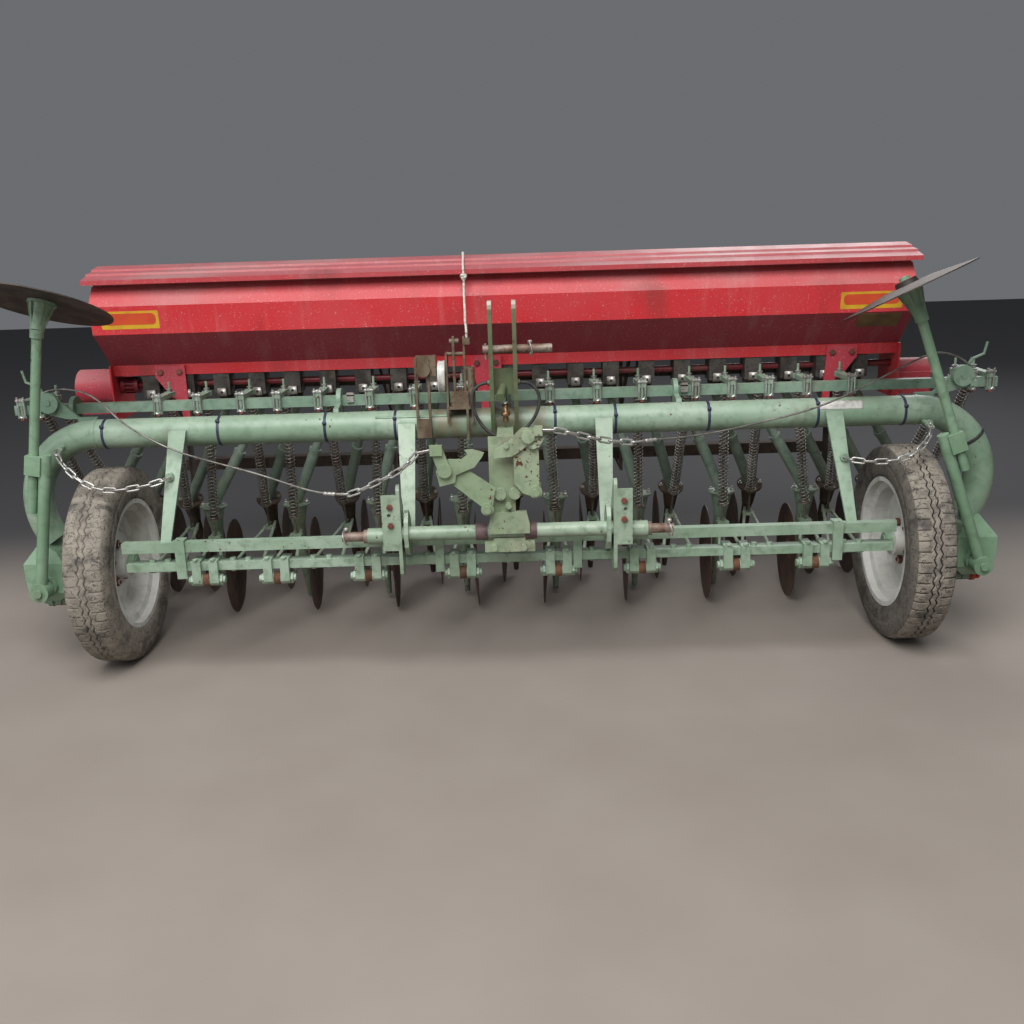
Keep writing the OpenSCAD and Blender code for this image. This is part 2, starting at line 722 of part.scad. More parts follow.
// The outer arms stand across the machine, rise outwards from the tube and carry a cable's pulley
module end_carrier() {
    difference() {
        along_y(26, 38)
            polygon([[1252, 706], [1252, 768], [1308, 768], [1370, 828], [pulley_x, 838], [1410, 826],
                [1432, 803], [1432, 784], [1404, 780], [1342, 764], [1312, 764], [1312, 706]]);
        tube_space();
    }
    box(1376, 1400, 27, pressure_y - pressure_s / 2 + 1, pressure_z - 2, pressure_z + 14);
    y_cyl(6, 11, pulley_x, pulley_z, pulley_d);
    y_cyl(11, 19, pulley_x, pulley_z, pulley_d - 12);
    y_cyl(19, 24, pulley_x, pulley_z, pulley_d);
    y_cyl(3, 27, pulley_x, pulley_z, 18);
    box(1412, 1432, 6, 27, 786, 803);
    rod([1398, 32, 824], [1424, 32, 868], 12);
    rod([1424, 32, 866], [1456, 32, 880], 8);
    rod([1455, 32, 877], [1464, 32, 916], 8);
}

casting_top = pressure_z + pressure_s / 2;
function rod_top_y(k) = is_front(k) ? 190 : 204;
module pressure_castings() {
    color(green) place() for (k = [0:row_count - 1]) {
        x = casting_x(k);
        y0 = pressure_y - pressure_s / 2;
        box(x - 13, x + 13, y0 - 12, rod_top_y(k), casting_top, casting_top + 14);
        translate([x, rod_top_y(k), casting_top]) cylinder(h = 14, d = 32);
        translate([x, rod_top_y(k), casting_top]) cylinder(h = 46, d = spring_rod_d);
        box(x - 13, x + 13, y0 - 12, pressure_y + pressure_s / 2 + 6, pressure_z - pressure_s / 2 - 8,
            pressure_z - pressure_s / 2);
        translate([x, y0 - 6, pressure_z - pressure_s / 2 - 14]) cylinder(h = pressure_s + 38, d = 10);
    }
}

// Spring rods hang from the castings and push on the coulter arms
function rod_top(k) = [casting_x(k), rod_top_y(k), casting_top - 2.8];
function rod_bottom(k) = arm_at(k, foot_y(k)) + [0, 0, 8.8];
function on_rod(k,
    z) = rod_top(k) + (rod_bottom(k) - rod_top(k))
    * (rod_top(k)[2] - z) / (rod_top(k)[2] - rod_bottom(k)[2]);
function collar_z(k) = is_outer(k) ? 430 : is_front(k) ? 378 : 388;
module spring_rods() {
    color(steel) place() for (k = [0:row_count - 1]) {
        rod(rod_bottom(k), rod_top(k), spring_rod_d);
        rod(on_rod(k, collar_z(k) - 6), on_rod(k, collar_z(k)), spring_d + 4);
    }
}

spring_turns = 16;
module coulter_springs() {
    color(steel) place() for (k = [0:row_count - 1]) {
        a = on_rod(k, collar_z(k) + seat);
        b = on_rod(k, casting_top - 12);
        v = b - a;
        l = norm(v);
        pitch = l / spring_turns;
        translate(a)
            rotate([0, acos(v[2] / l), atan2(v[1], v[0])])
                rotate_extrude($fn = 24)
                    polygon(concat([[spring_rod_d / 2 + seat, 0]],
                        [for (i = [0:spring_turns - 1], q = [[0, 0.02], [1, 0.3], [1, 0.6], [0, 0.88]])
                            [spring_d / 2 - (1 - q[0]) * 4, (i + q[1]) * pitch]],
                        [[spring_rod_d / 2 + seat, l]]));
    }
}

outlet_y = 318;
outlet_z = 748;
module seed_tubes() {
    color(green) place() difference() {
        for (k = [0:row_count - 1]) {
            a = [(k - middle_row) * outlet_pitch, outlet_y, outlet_z];
            b = [boot_x(k), flange_y(k), flange_z(k) - 2];
            m = a + (b - a) * 0.45;
            rod(a, m + (b - a) * 0.05, seed_tube_d - 8);
            rod(m, b, seed_tube_d);
            rod(m, m + (b - a) * 0.03, seed_tube_d + 5);
        }
        for (k = [0:row_count - 1]) {
            translate([(k - middle_row) * outlet_pitch, outlet_y, outlet_z - 6 - seat])
                cylinder(h = 60, d = 70);
            flange_frame(k) translate([0, 0, -40]) cylinder(h = 40 + flange_t / 2 + seat, d = 110);
        }
    }
}

// Hopper: a long trough of folded sheet, open on top
front_fold_y = 138;
rim_y = 188;
slope_y = 264;
rear_y = rim_y + hopper_depth;
module hopper_outline(inset) {
    t = inset;
    polygon([[rim_y + t, hopper_top + t], [front_fold_y + t * 1.1, 1092], [148 + t, 1005 + t * 0.4],
        [slope_y + t * 0.6, hopper_floor + t], [350 - t * 0.6, hopper_floor + t],
        [rear_y - t, 1120], [rear_y - t, hopper_top + t]]);
}

hinge_x_places = [-1080, -360, 360, 1080];
lid_pin_d = 10;
module hopper() {
    color(red) place() {
        difference() {
            union() {
                difference() {
                    along_x(-hopper_half, hopper_half) hopper_outline(0);
                    along_x(-hopper_half + sheet, hopper_half - sheet) hopper_outline(sheet);
                }
                both() box(hopper_half - 5, hopper_half, 240, 420, 716, hopper_floor + 1);
            }
            for (k = [0:row_count - 1])
                translate([(k - middle_row) * outlet_pitch, 307, hopper_floor - 20]) cylinder(h = 40,
                    d = 40);
            x_cyl(-hopper_half - 10, hopper_half + 10, feed_y, feed_z, feed_d + 1);
            x_cyl(-hopper_half - 10, hopper_half + 10, flap_y, flap_z, flap_d + 1);
        }
        box(-hopper_half, hopper_half, slope_y, slope_y + 4, 862, hopper_floor + 1);
        box(-hopper_half, hopper_half, 346, 350, 862, hopper_floor + 1);
        for (x = hinge_x_places) {
            for (s = [-1, 1]) translate([x + s * 24, 0, 0]) box(-3, 3, rear_y - 1, lid_hinge_y + 8, 1140,
                1168);
            x_cyl(x - 24, x + 24, lid_hinge_y, lid_hinge_z, lid_pin_d);
        }
    }
}

// Brackets that carry the hopper on the portal tube.
// Each entry: X of a plate's wide top, X of its foot
hopper_bracket_x = [[-1088, -1050], [-58, -66], [1095, 1050]];
module hopper_brackets() {
    color(red) place() {
        for (b = hopper_bracket_x) {
            x = b[0];
            along_y(slope_y - 12, slope_y - 6)
                polygon([[x - 49, 892], [x + 49, 892], [x + 49, 856], [b[1] + 12, 750], [b[1] + 12, 694],
                    [b[1] - 12, 694], [b[1] - 12, 750], [x - 49, 856]]);
            box(x - 49, x + 49, slope_y - 7, slope_y - 0.2, 864, 892);
            difference() {
                box(b[1] - 12, b[1] + 12, 20, slope_y - 6, 694, 712);
                tube_space();
            }
        }
    }
}

feed_y = 312;
feed_z = 826;
feed_d = 22;
flap_y = 277;
flap_z = 750;
flap_d = 18;
module feed_units() {
    color(steel) place() {
        for (k = [0:row_count - 1]) {
            x = (k - middle_row) * outlet_pitch;
            difference() {
                box(x - 26, x + 26, slope_y + 4, 346, 790, hopper_floor);
                x_cyl(x - 30, x + 30, feed_y, feed_z, feed_d + 2 * seat);
            }
            translate([x, outlet_y, outlet_z - 6]) cylinder(h = 50, d = 46);
            box(x - 15, x + 15, slope_y - 3, slope_y + 5, 786, 814);
        }
        box(-1190, 1190, 334, 342, 800, 812);
    }
}

module feed_shaft() {
    color(red) place() {
        x_cyl(-hopper_half - 5, hopper_half + 3, feed_y, feed_z, feed_d);
        x_cyl(-hopper_half - 5, hopper_half + 3, flap_y, flap_z, flap_d);
        difference() {
            x_cyl(-1268, -1212, feed_y, feed_z, 54);
            for (a = [0:30:330]) translate([0, feed_y, feed_z]) rotate([a, 0, 0]) box(-1256, -1224, -5,
                5, 20, 40);
        }
    }
}

module drive_covers() {
    color(red) place() {
        along_x(-1414, -hopper_half - 5.3)
            union() {
                translate([340, 810]) circle(r = 68);
                translate([290, 735]) square([106, 75]);
            }
        along_x(hopper_half + 3.3, 1400)
            union() {
                translate([262, 728]) square([120, 70]);
                translate([322, 798]) circle(r = 40);
            }
    }
}

// Footboard behind the coulters, hung from the hopper's rear edge
post_x = [-1180, -420, 420, 1180];
module footboard() {
    color(rust) place() {
        box(-1250, 1250, footboard_rear - 200, footboard_rear, 428, 440);
        box(-1250, 1250, footboard_rear - 200, footboard_rear - 194, 439, 470);
        for (x = post_x) {
            box(x - 5, x + 5, rear_y, rear_y + 40, 412, 1138);
            box(x - 5, x + 5, rear_y, footboard_rear - 20, 412, 429);
            along_x(x - 5, x + 5)
                polygon([[350, 888], [350, 864], [362, 858], [rear_y + 4, 640], [rear_y + 4, 670]]);
        }
    }
}

// Lid: a folded roof hinged along its rear edge
lid_half = hopper_half + 16;
lid_hinge_y = rear_y + 12;
lid_hinge_z = hopper_top + 8;
lid_front_y = 143;
lid_rear_y = rear_y + 4;
module hopper_lid() {
    color(red) place() {
        difference() {
            along_x(-lid_half, lid_half)
                polygon([[lid_front_y, 1158], [lid_front_y, 1172], [190, 1184], [194, 1190], [240, 1196],
                    [244, 1202], [300, 1212], [rear_y - 30, 1204], [lid_rear_y, 1192], [lid_rear_y, 1158]]);
            along_x(-lid_half + lid_sheet, lid_half - lid_sheet)
                polygon([[lid_front_y + lid_sheet, 1150], [lid_front_y + lid_sheet, 1170], [190, 1181],
                    [240, 1193], [300, 1208], [rear_y - 30, 1200], [lid_rear_y - lid_sheet, 1189],
                    [lid_rear_y - lid_sheet, 1150]]);
            box(-lid_half - 1, lid_half + 1, rear_y - 3, lid_rear_y + 1, 1150, 1174);
        }
        box(-hopper_half + 4, hopper_half - 4, rim_y + 1, rim_y + 4, hopper_top + seat, 1183);
        for (x = hinge_x_places)
            difference() {
                union() {
                    x_cyl(x - 20, x + 20, lid_hinge_y, lid_hinge_z, 20);
                    box(x - 20, x + 20, lid_rear_y - 3, lid_rear_y + 2, lid_hinge_z, 1182);
                }
                x_cyl(x - 30, x + 30, lid_hinge_y, lid_hinge_z, lid_pin_d + 2 * run_gap);
            }
    }
}

// Tyres: carcass with a grooved tread, one closed ring each
module tyre(s) {
    color(rubber) place()
        translate([s * wheel_x, 0, axle_z]) rotate([0, 90, 0])
            rotate_extrude($fn = 120) tyre_section();
}

module tyre_section() {
    r = tyre_d / 2;
    h = tyre_w / 2;
    b = rim_d / 2 - 12;
    polygon([[b, -h + 15], [b + 10, -h + 14], [b + 11, -h + 8], [b + 30, -h], [r - 44, -h],
        [r - 16, -h + 8], [r - 6, -h + 14],
        [r - 1, -38], [r - 1, -28], [r - 8, -27], [r - 8, -22], [r, -21], [r, -3], [r - 8, -2.5], [r - 8,
            2.5],
        [r, 3], [r, 21], [r - 8, 22], [r - 8, 27], [r - 1, 28], [r - 1, 38], [r - 6, h - 14], [r - 16,
            h - 8],
        [r - 44, h], [b + 30, h], [b + 11, h - 8], [b + 10, h - 14], [b, h - 15]]);
}

// Rims: flange, bead seat, well and dished centre disc with its hub
module rim(s) {
    w = tyre_w / 2 - 14;
    b = rim_d / 2 - 12.3;
    color(rim_white) place()
        translate([s * wheel_x, 0, axle_z]) rotate([0, s * 90, 0])
            difference() {
                union() {
                    rotate_extrude($fn = 96)
                        polygon([[b + 10, -w - 5], [b + 10, -w - 1], [b, -w], [b - 1, -30], [b - 20,
                            -24], [b - 20, 14],
                            [b - 1, 24], [b, w], [b + 10, w + 1], [b + 10, w + 5], [b - 4, w + 4],
                                [b - 6, 28],
                            [b - 24, 22], [b - 40, 30], [b - 70, 30], [b - 92, 16], [40, 16], [40, 10],
                                [b - 90, 10],
                            [b - 68, 24], [b - 42, 24], [b - 25, 16], [b - 24, -28], [b - 6, -34],
                                [b - 4, -w - 4]]);
                    translate([0, 0, 14 - hub_half]) cylinder(h = 2 * hub_half, d = 92);
                    for (a = [0:72:288]) rotate([0, 0, a]) translate([62, 0, -4]) cylinder(h = 30, d = 18);
                }
                translate([0, 0, -100]) cylinder(h = 200, d = axle_d + 2 * run_gap);
            }
}

// Row marker arm: lower tube on the pivot, clamp, upper tube and a ribbed bearing for the disc
sleeve_len = 430;
clamp_up = 395;
clamp_half = 29;
upper_len = 395;
// Offset of the upper tube, outwards of the lower one
upper_off = 34;
function lean(s) = s < 0 ? marker_lean_left : marker_lean_right;
// How far the upper tube reaches below the clamp
function upper_tail(s) = s < 0 ? 120 : 62;
module marker_frame(s) {
    translate([s * marker_pivot_x, marker_y, marker_pivot_z]) rotate([0, -s * lean(s), 0]) children();
}

module marker_arm(s) {
    tail = clamp_half + upper_tail(s);
    color(green) place() marker_frame(s) {
        difference() {
            union() {
                cylinder(h = sleeve_len, d = marker_sleeve_d);
                rotate([90, 0, 0]) translate([0, 0, -marker_boss_w / 2]) cylinder(h = marker_boss_w,
                    d = 58);
            }
            rotate([90, 0, 0]) translate([0, 0, -60]) cylinder(h = 120, d = marker_pin_d + 2 * run_gap);
        }
        translate([s * upper_off, 0, clamp_up - tail]) cylinder(h = tail + upper_len, d = marker_tube_d);
        box_s(s, 6, upper_off + 18, -22, 22, clamp_up - clamp_half, clamp_up + clamp_half);
        translate([s * upper_off, 0, clamp_up + upper_len]) marker_head(s);
    }
}

module box_s(s, x0, x1, y0, y1, z0, z1) {
    box(min(s * x0, s * x1), max(s * x0, s * x1), y0, y1, z0, z1);
}

disc_cant_left = [20, 0];
disc_cant_right = [11, 4];
function cant(s) = s < 0 ? disc_cant_left : disc_cant_right;
marker_pin = 16;
head_h = 84;
module head_frame(s) {
    rotate([-cant(s)[0], -s * cant(s)[1], 0]) children();
}

module marker_head(s) {
    head_frame(s) {
        cylinder(h = head_h, d1 = 39, d2 = 62);
        translate([0, 0, head_h - 8]) cylinder(h = 8, d = 80);
        for (a = [0:60:300]) rotate([90, 0, a]) translate([0, 0, -3]) linear_extrude(6)
            polygon([[12, 8], [20, 8], [39, head_h - 6], [12, head_h - 6]]);
        cylinder(h = head_h + 34, d = marker_pin);
        translate([0, 0, head_h + 22 + 1]) cylinder(h = 9, d = 30);
    }
    translate([0, 0, -20]) cylinder(h = 24, d = marker_tube_d + 10);
}

module marker_disc(s) {
    color(rust) place() marker_frame(s) translate([s * upper_off, 0, clamp_up + upper_len]) head_frame(s)
        translate([0, 0, head_h + seat])
            difference() {
                rotate_extrude($fn = 96)
                    polygon([[0, 0], [36, 0], [70, 4], [marker_disc_d / 2, -10], [marker_disc_d / 2, -6.5],
                        [70, 8], [34, 6], [30, 22], [0, 22]]);
                translate([0, 0, -5]) cylinder(h = 40, d = marker_pin + 2 * run_gap);
            }
}

// Routes of the chains, cables, rope and hose, as points picked by hand. The first and the last
// step of each are straight, square to the fitting they meet.
chain_routes = [
    [[-1000, -128.3, 606], [-1000, -136, 606], [-1010, -152, 603], [-1036, -163, 596], [-1092, -172, 587],
        [-1150, -180, 583],
        [-1210, -176, 594], [-1266, -158, 624], [-1312, -130, 662], [-1332, -106, 682], [-1338, -86, 690],
        [-1338, -78.3, 690]],
    [[1000, -128.3, 606], [1000, -136, 606], [1011, -153, 605], [1036, -164, 602], [1090, -174, 601],
        [1150, -178, 608],
        [1206, -162, 632], [1244, -132, 666], [1258, -108, 683], [1262, -86, 690], [1262, -78.3, 690]],
    [[-479.7, -270.1, 575], [-459.7, -277.1, 575], [-400, -292, 594], [-324, -312, 632], [-262, -328, 676],
        [-224, -334, 706], [-206.3, -334, 706]],
    [[104.3, -327, 752], [120, -327, 752], [180, -315, 740], [256, -290, 716], [330, -264, 700],
        [370, -250, 696], [390, -241, 696]]];
chain_d = 14;
cable_d = 6;
cable_left = [[-1422, 15, 803.3], [-1422, 15, 814], [-1413, 15, 840], [-1392, 15, 852], [-1345, 15, 858],
    [-1298, 14, 852], [-1220, -15, 820], [-1160, -52, 776], [-1089, -84, 734], [-1011, -98, 694],
    [-873, -140, 655], [-683, -200, 612], [-500, -263, 575], [-480, -270, 575]];
cable_right = [[390.4, -240.8, 696], [410.4, -231.8, 696], [473, -198, 693], [595, -155, 696],
    [752, -112, 716], [926, -84, 752], [1045, -54, 792], [1159, -18, 837], [1253, 8, 874], [1316, 15, 888],
    [1362, 15, 878], [1398, 15, 857], [1415, 15, 838], [1422, 15, 814], [1422, 15, 803.3]];
rope_d = 8;
rope_route = [[-106, -38, 980.3], [-106, -38, 986], [-106, -34, 1002], [-107, -20, 1013], [-110, 10,
    1021], [-112, 60, 1040],
    [-114, 98, 1074], [-115, 118, 1112], [-115, 128, 1136], [-115, 130, 1148]];
hose_d = 10;
hose_route = [[48.3, -70, 850], [52, -70, 850], [69, -70, 847], [85, -70, 839], [97, -71, 826],
    [103, -73, 808], [103, -76, 788], [96, -80, 762], [82, -83, 738], [60, -86, 714], [32, -88, 697],
    [4, -88, 690], [-24, -88, 694], [-50, -86, 707], [-70, -83, 728], [-83, -80, 754], [-90, -77, 782],
    [-92, -74, 808], [-89, -72, 825], [-80, -71, 839], [-67, -70, 847], [-51, -70, 850], [-48.3, -70, 850]];

function unit(v) = v / norm(v);
// A smooth curve through the points of p, with n steps from one point to the next
function curve(p, n) = concat([for (i = [0:len(p) - 2], j = [0:n - 1])
    let (u = j / n, a = p[max(i - 1, 0)], b = p[i], c = p[i + 1], d = p[min(i + 2, len(p) - 1)])
        b + (c - a) * u / 2 + (2 * a - 5 * b + 4 * c - d) * u * u / 2 + (3 * b - a - 3 * c + d) * u * u
            * u / 2],
    [p[len(p) - 1]]);
// The same with a straight first and last step
function led(p, n) = concat([p[0]], curve([for (i = [1:len(p) - 2]) p[i]], n), [p[len(p) - 1]]);

// A round cord of 8 sides along route; across is a direction that the route never runs in
module cord(route, d, across) {
    sides = 8;
    n = len(route);
    rings = [for (i = [0:n - 1], j = [0:sides - 1])
        let (t = unit(route[min(i + 1, n - 1)] - route[max(i - 1, 0)]), a = unit(cross(t, across)),
            b = cross(t, a))
            route[i] + d / 2 * (cos(360 * j / sides) * a + sin(360 * j / sides) * b)];
    polyhedron(points = rings, faces = concat([[for (j = [0:sides - 1]) j]],
        [[for (j = [sides - 1:-1:0]) (n - 1) * sides + j]],
        [for (i = [0:n - 2], j = [0:sides - 1]) let (k = (j + 1) % sides)
            [i * sides + j, (i + 1) * sides + j, (i + 1) * sides + k, i * sides + k]]));
}

module chains() {
    color(zinc) place() for (r = chain_routes) cord(led(r, 2), chain_d, [0, 0.2, 1]);
}

module marker_cable_left() {
    color(zinc) place() cord(led(cable_left, 3), cable_d, [0.3, 1, 0]);
}

module marker_cable_right() {
    color(zinc) place() cord(led(cable_right, 3), cable_d, [-0.3, 1, 0]);
}

module lid_rope() {
    color(rope_white) place() cord(led(rope_route, 3), rope_d, [1, 0, 0]);
}

module oil_hose() {
    color(black) place() cord(led(hose_route, 2), hose_d, [0, 1, 0]);
}

portal_tube();
axle_housings();
front_bar();
hitch_frame();
coulter_bar();
hitch_pins();
top_link_bars();
centre_plate();
latches();
changeover_unit();
coulter_clamps();
coulter_arms();
front_boots();
rear_boots();
pressure_bar();
pressure_castings();
spring_rods();
coulter_springs();
seed_tubes();
hopper();
hopper_brackets();
feed_units();
feed_shaft();
drive_covers();
footboard();
chains();
marker_cable_left();
marker_cable_right();
lid_rope();
oil_hose();
hopper_lid();
tyre(-1);  // tyre_left
tyre(1);  // tyre_right
rim(-1);  // rim_left
rim(1);  // rim_right
marker_arm(-1);  // marker_arm_left
marker_arm(1);  // marker_arm_right
marker_disc(-1);  // marker_disc_left
marker_disc(1);  // marker_disc_right
for (k = [0:row_count - 1])
    coulter_disc(k);
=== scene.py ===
# %% [markdown]
# # A three metre seed drill, finished in Blender
# The CAD frame gives every solid of the drill at its real size. This file never moves those
# solids. It gives them their worn paint, rust and dust, and adds what is too fine for CAD:
# the tyre tread, the wound springs, chain links, cables, stickers, ties and bolts.
# Lengths in the tables are in millimetres from the middle of the wheel axle's floor line, as on
# a workshop drawing, and are turned into metres in one place. X runs to the right, Y to the
# rear and Z up.

import math

import bpy
import numpy as np
from mathutils import Matrix, Vector


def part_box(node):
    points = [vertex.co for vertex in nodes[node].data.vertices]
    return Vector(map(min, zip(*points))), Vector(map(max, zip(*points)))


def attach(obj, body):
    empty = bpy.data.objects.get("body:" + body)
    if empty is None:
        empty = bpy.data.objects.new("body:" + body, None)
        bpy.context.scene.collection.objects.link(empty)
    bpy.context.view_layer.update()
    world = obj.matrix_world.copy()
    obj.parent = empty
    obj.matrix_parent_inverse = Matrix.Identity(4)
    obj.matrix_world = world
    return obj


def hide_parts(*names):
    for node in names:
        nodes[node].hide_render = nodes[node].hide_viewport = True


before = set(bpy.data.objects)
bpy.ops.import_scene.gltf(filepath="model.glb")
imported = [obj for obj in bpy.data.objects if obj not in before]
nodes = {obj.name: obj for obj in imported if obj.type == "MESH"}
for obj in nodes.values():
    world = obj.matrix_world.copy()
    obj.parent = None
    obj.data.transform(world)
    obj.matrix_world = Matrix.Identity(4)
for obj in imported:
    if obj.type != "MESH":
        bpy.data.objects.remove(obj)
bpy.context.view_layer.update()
tyre_low, tyre_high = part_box("tyre_left")
axle_y = (tyre_low.y + tyre_high.y) / 2
axle_z = (tyre_low.z + tyre_high.z) / 2


def metres(points):
    """Millimetres from the axle's floor line to metres in the frame: divide by 1000, shift Y."""
    return np.asarray(points, float) / 1000 + (0, axle_y, 0)


print(len(nodes), "CAD nodes, wheel axle at", round(axle_y, 3), round(axle_z, 3))

# %% [markdown]
# ## The camera
# The photo was taken standing in front of the drill, a little above it and looking down. Its place
# was worked out from known lengths on the machine. Three angles could turn the camera, but their
# order is easy to mistake. A camera looks along its own -Z, so its matrix is built from three
# directions instead: right, up and back.

# %% Camera
LENS_MM, SENSOR_MM = 36.03, 36
CAMERA_PLACE = Vector((0.032, -3.088 + axle_y, 1.267))
PITCH, ROLL, YAW = (math.radians(a) for a in (15.08, -1.78, 0.37))

ahead = Vector((0, math.cos(PITCH), -math.sin(PITCH)))
above = Vector((0, math.sin(PITCH), math.cos(PITCH)))
right = Vector((1, 0, 0))
tilted_right = math.cos(ROLL) * right + math.sin(ROLL) * above
tilted_up = -math.sin(ROLL) * right + math.cos(ROLL) * above
turn = Matrix.Rotation(YAW, 3, "Z")
axes = [turn @ v for v in (tilted_right, tilted_up, -ahead)]
camera_data = bpy.data.cameras.new("camera")
camera_data.lens = LENS_MM
camera_data.sensor_width = SENSOR_MM
camera = bpy.data.objects.new("camera", camera_data)
camera.matrix_world = Matrix.Translation(CAMERA_PLACE) @ Matrix(axes).transposed().to_4x4()
bpy.context.scene.collection.objects.link(camera)
bpy.context.scene.camera = camera
print("camera", round((CAMERA_PLACE - Vector((0, axle_y, axle_z))).length, 2), "m from the axle")

# %% [markdown]
# ## Surfaces from arrays
# Every new piece is a grid of points worked out by numpy. Blender's own cylinders and curves could
# serve, but with a formula each point has its real size and nothing depends on a modifier. A grid
# closes on itself where a shape goes round, and its open ends get a flat cap, so the mesh is a
# closed skin. A few shapes are enough for this machine: a tube along a path, a closed ring of wire,
# a turned profile and a plate from an outline. Each is a pair of its points and its faces.

# %% Mesh helpers
SPLINE_STEPS = 10
made_pieces = {}


def grid_faces(rows, columns, around_rows=False):
    """Four-cornered faces of a grid that closes across its columns: each joins point (i, j) to
    its next row and next column. Where the rows go round too, the last one joins the first."""
    i = np.arange(rows if around_rows else rows - 1)[:, None]
    j = np.arange(columns)[None, :]
    here, there, next_j = i * columns, (i + 1) % rows * columns, (j + 1) % columns
    return np.stack([here + j, here + next_j, there + next_j, there + j], -1).reshape(-1, 4)


def add_piece(name, shape, finish, body="frame", replaces=(), smooth=True):
    """One object from a shape in millimetres: its points, and a list of arrays of faces, one
    array per number of corners."""
    points, faces = shape
    mesh = bpy.data.meshes.new(name)
    corners = [row for face_rows in faces for row in face_rows.tolist()]
    mesh.from_pydata(metres(points).tolist(), [], corners)
    mesh.update()
    mesh.polygons.foreach_set("use_smooth", np.full(len(mesh.polygons), smooth))
    piece = bpy.data.objects.new(name, mesh)
    bpy.context.scene.collection.objects.link(piece)
    mesh.materials.append(finish)
    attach(piece, body)
    if replaces:
        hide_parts(*replaces)
    made_pieces[name] = sum(len(c) - 2 for c in corners)
    return piece


def unit(v):
    """Vectors divided by their length."""
    return v / np.linalg.norm(v, axis=-1, keepdims=True)


def outward(points, faces):
    """A closed shape with its faces turned outwards: the fans of each face give a signed volume,
    and where that is negative, every face is listed the other way round."""
    volume = 0.0
    for face_rows in faces:
        c = points[face_rows]
        volume += np.einsum("ik,ijk->", c[:, 0], np.cross(c[:, 1:-1], c[:, 2:]))
    return points, [f[:, ::-1] if volume < 0 else f for f in faces]


def skin(rings):
    """A closed shape from rings of points, one after another, with a flat cap on each end."""
    count, around = rings.shape[:2]
    caps = np.array([np.arange(around)[::-1], (count - 1) * around + np.arange(around)])
    return outward(rings.reshape(-1, 3), [grid_faces(count, around), caps])


def tube(path, radius, sides, across, shares=1.0):
    """Rings of points around a path: path + radius * share * (cos(a) * side + sin(a) * rise). side
    stands square to the path and to across, and rise to both. shares may differ in every point."""
    along = unit(np.gradient(path, axis=0))
    side = unit(np.cross(along, across))
    rise = np.cross(along, side)
    a = np.linspace(0, 2 * np.pi, sides, endpoint=False)
    around = np.cos(a)[:, None] * side[:, None] + np.sin(a)[:, None] * rise[:, None]
    reach = radius * shares * np.ones((len(path), sides))
    return skin(path[:, None] + reach[..., None] * around)


def closed_wire(centre, first, second, radius, sides):
    """Round wire along a closed line: centre + radius * (cos(a) * first + sin(a) * second), where
    first and second stand square to the line and to each other."""
    a = np.linspace(0, 2 * np.pi, sides, endpoint=False)[None, :, None]
    first, second = (np.broadcast_to(v, centre.shape)[:, None] for v in (first, second))
    points = centre[:, None] + radius * (np.cos(a) * first + np.sin(a) * second)
    return outward(points.reshape(-1, 3), [grid_faces(len(centre), sides, True)])


def turned(profile, start, end, sides=24):
    """A lathe shape: each profile entry is a distance along the line from start to end, in
    shares of its length, and a radius. The first and last radius close to caps."""
    profile, start, end = (np.asarray(v, float) for v in (profile, start, end))
    axis = unit(end - start)
    helper = (0, 0, 1.0) if abs(axis[2]) < 0.9 else (0, 1.0, 0)
    side = unit(np.cross(axis, helper))
    rise = np.cross(axis, side)
    a = np.linspace(0, 2 * np.pi, sides, endpoint=False)[:, None]
    middles = start + profile[:, :1] * (end - start)
    return skin(middles[:, None] + profile[:, 1, None, None] * (np.cos(a) * side + np.sin(a) * rise))


def drum(start, end, radius, bevel, share, sides=24):
    """A turned bar whose radius is less by bevel at both ends and full from share to 1 - share."""
    ends = radius - bevel
    return turned([(0, ends), (share, radius), (1 - share, radius), (1, ends)], start, end, sides)


def block(outline, low, high, axis="y"):
    """A plate: a flat outline of (u, v) points carried from low to high along an axis. u and v
    are X and Z for a plate across Y, Y and Z for one across X, X and Y for one across Z."""
    outline = np.asarray(outline, float)
    order = {"x": (2, 0, 1), "y": (0, 2, 1), "z": (0, 1, 2)}[axis]
    flats = [np.column_stack([outline, np.full(len(outline), v)])[:, order] for v in (low, high)]
    return skin(np.stack(flats))


def together(shapes):
    """Many shapes as one: points stacked, and face numbers moved on by the points before."""
    points, faces, base = [], [], 0
    for shape_points, shape_faces in shapes:
        points.append(shape_points)
        faces.extend(f + base for f in shape_faces)
        base += len(shape_points)
    return np.concatenate(points), faces


def running_length(path):
    """How far along a path each of its points lies."""
    return np.concatenate([[0], np.cumsum(np.linalg.norm(np.diff(path, axis=0), axis=1))])


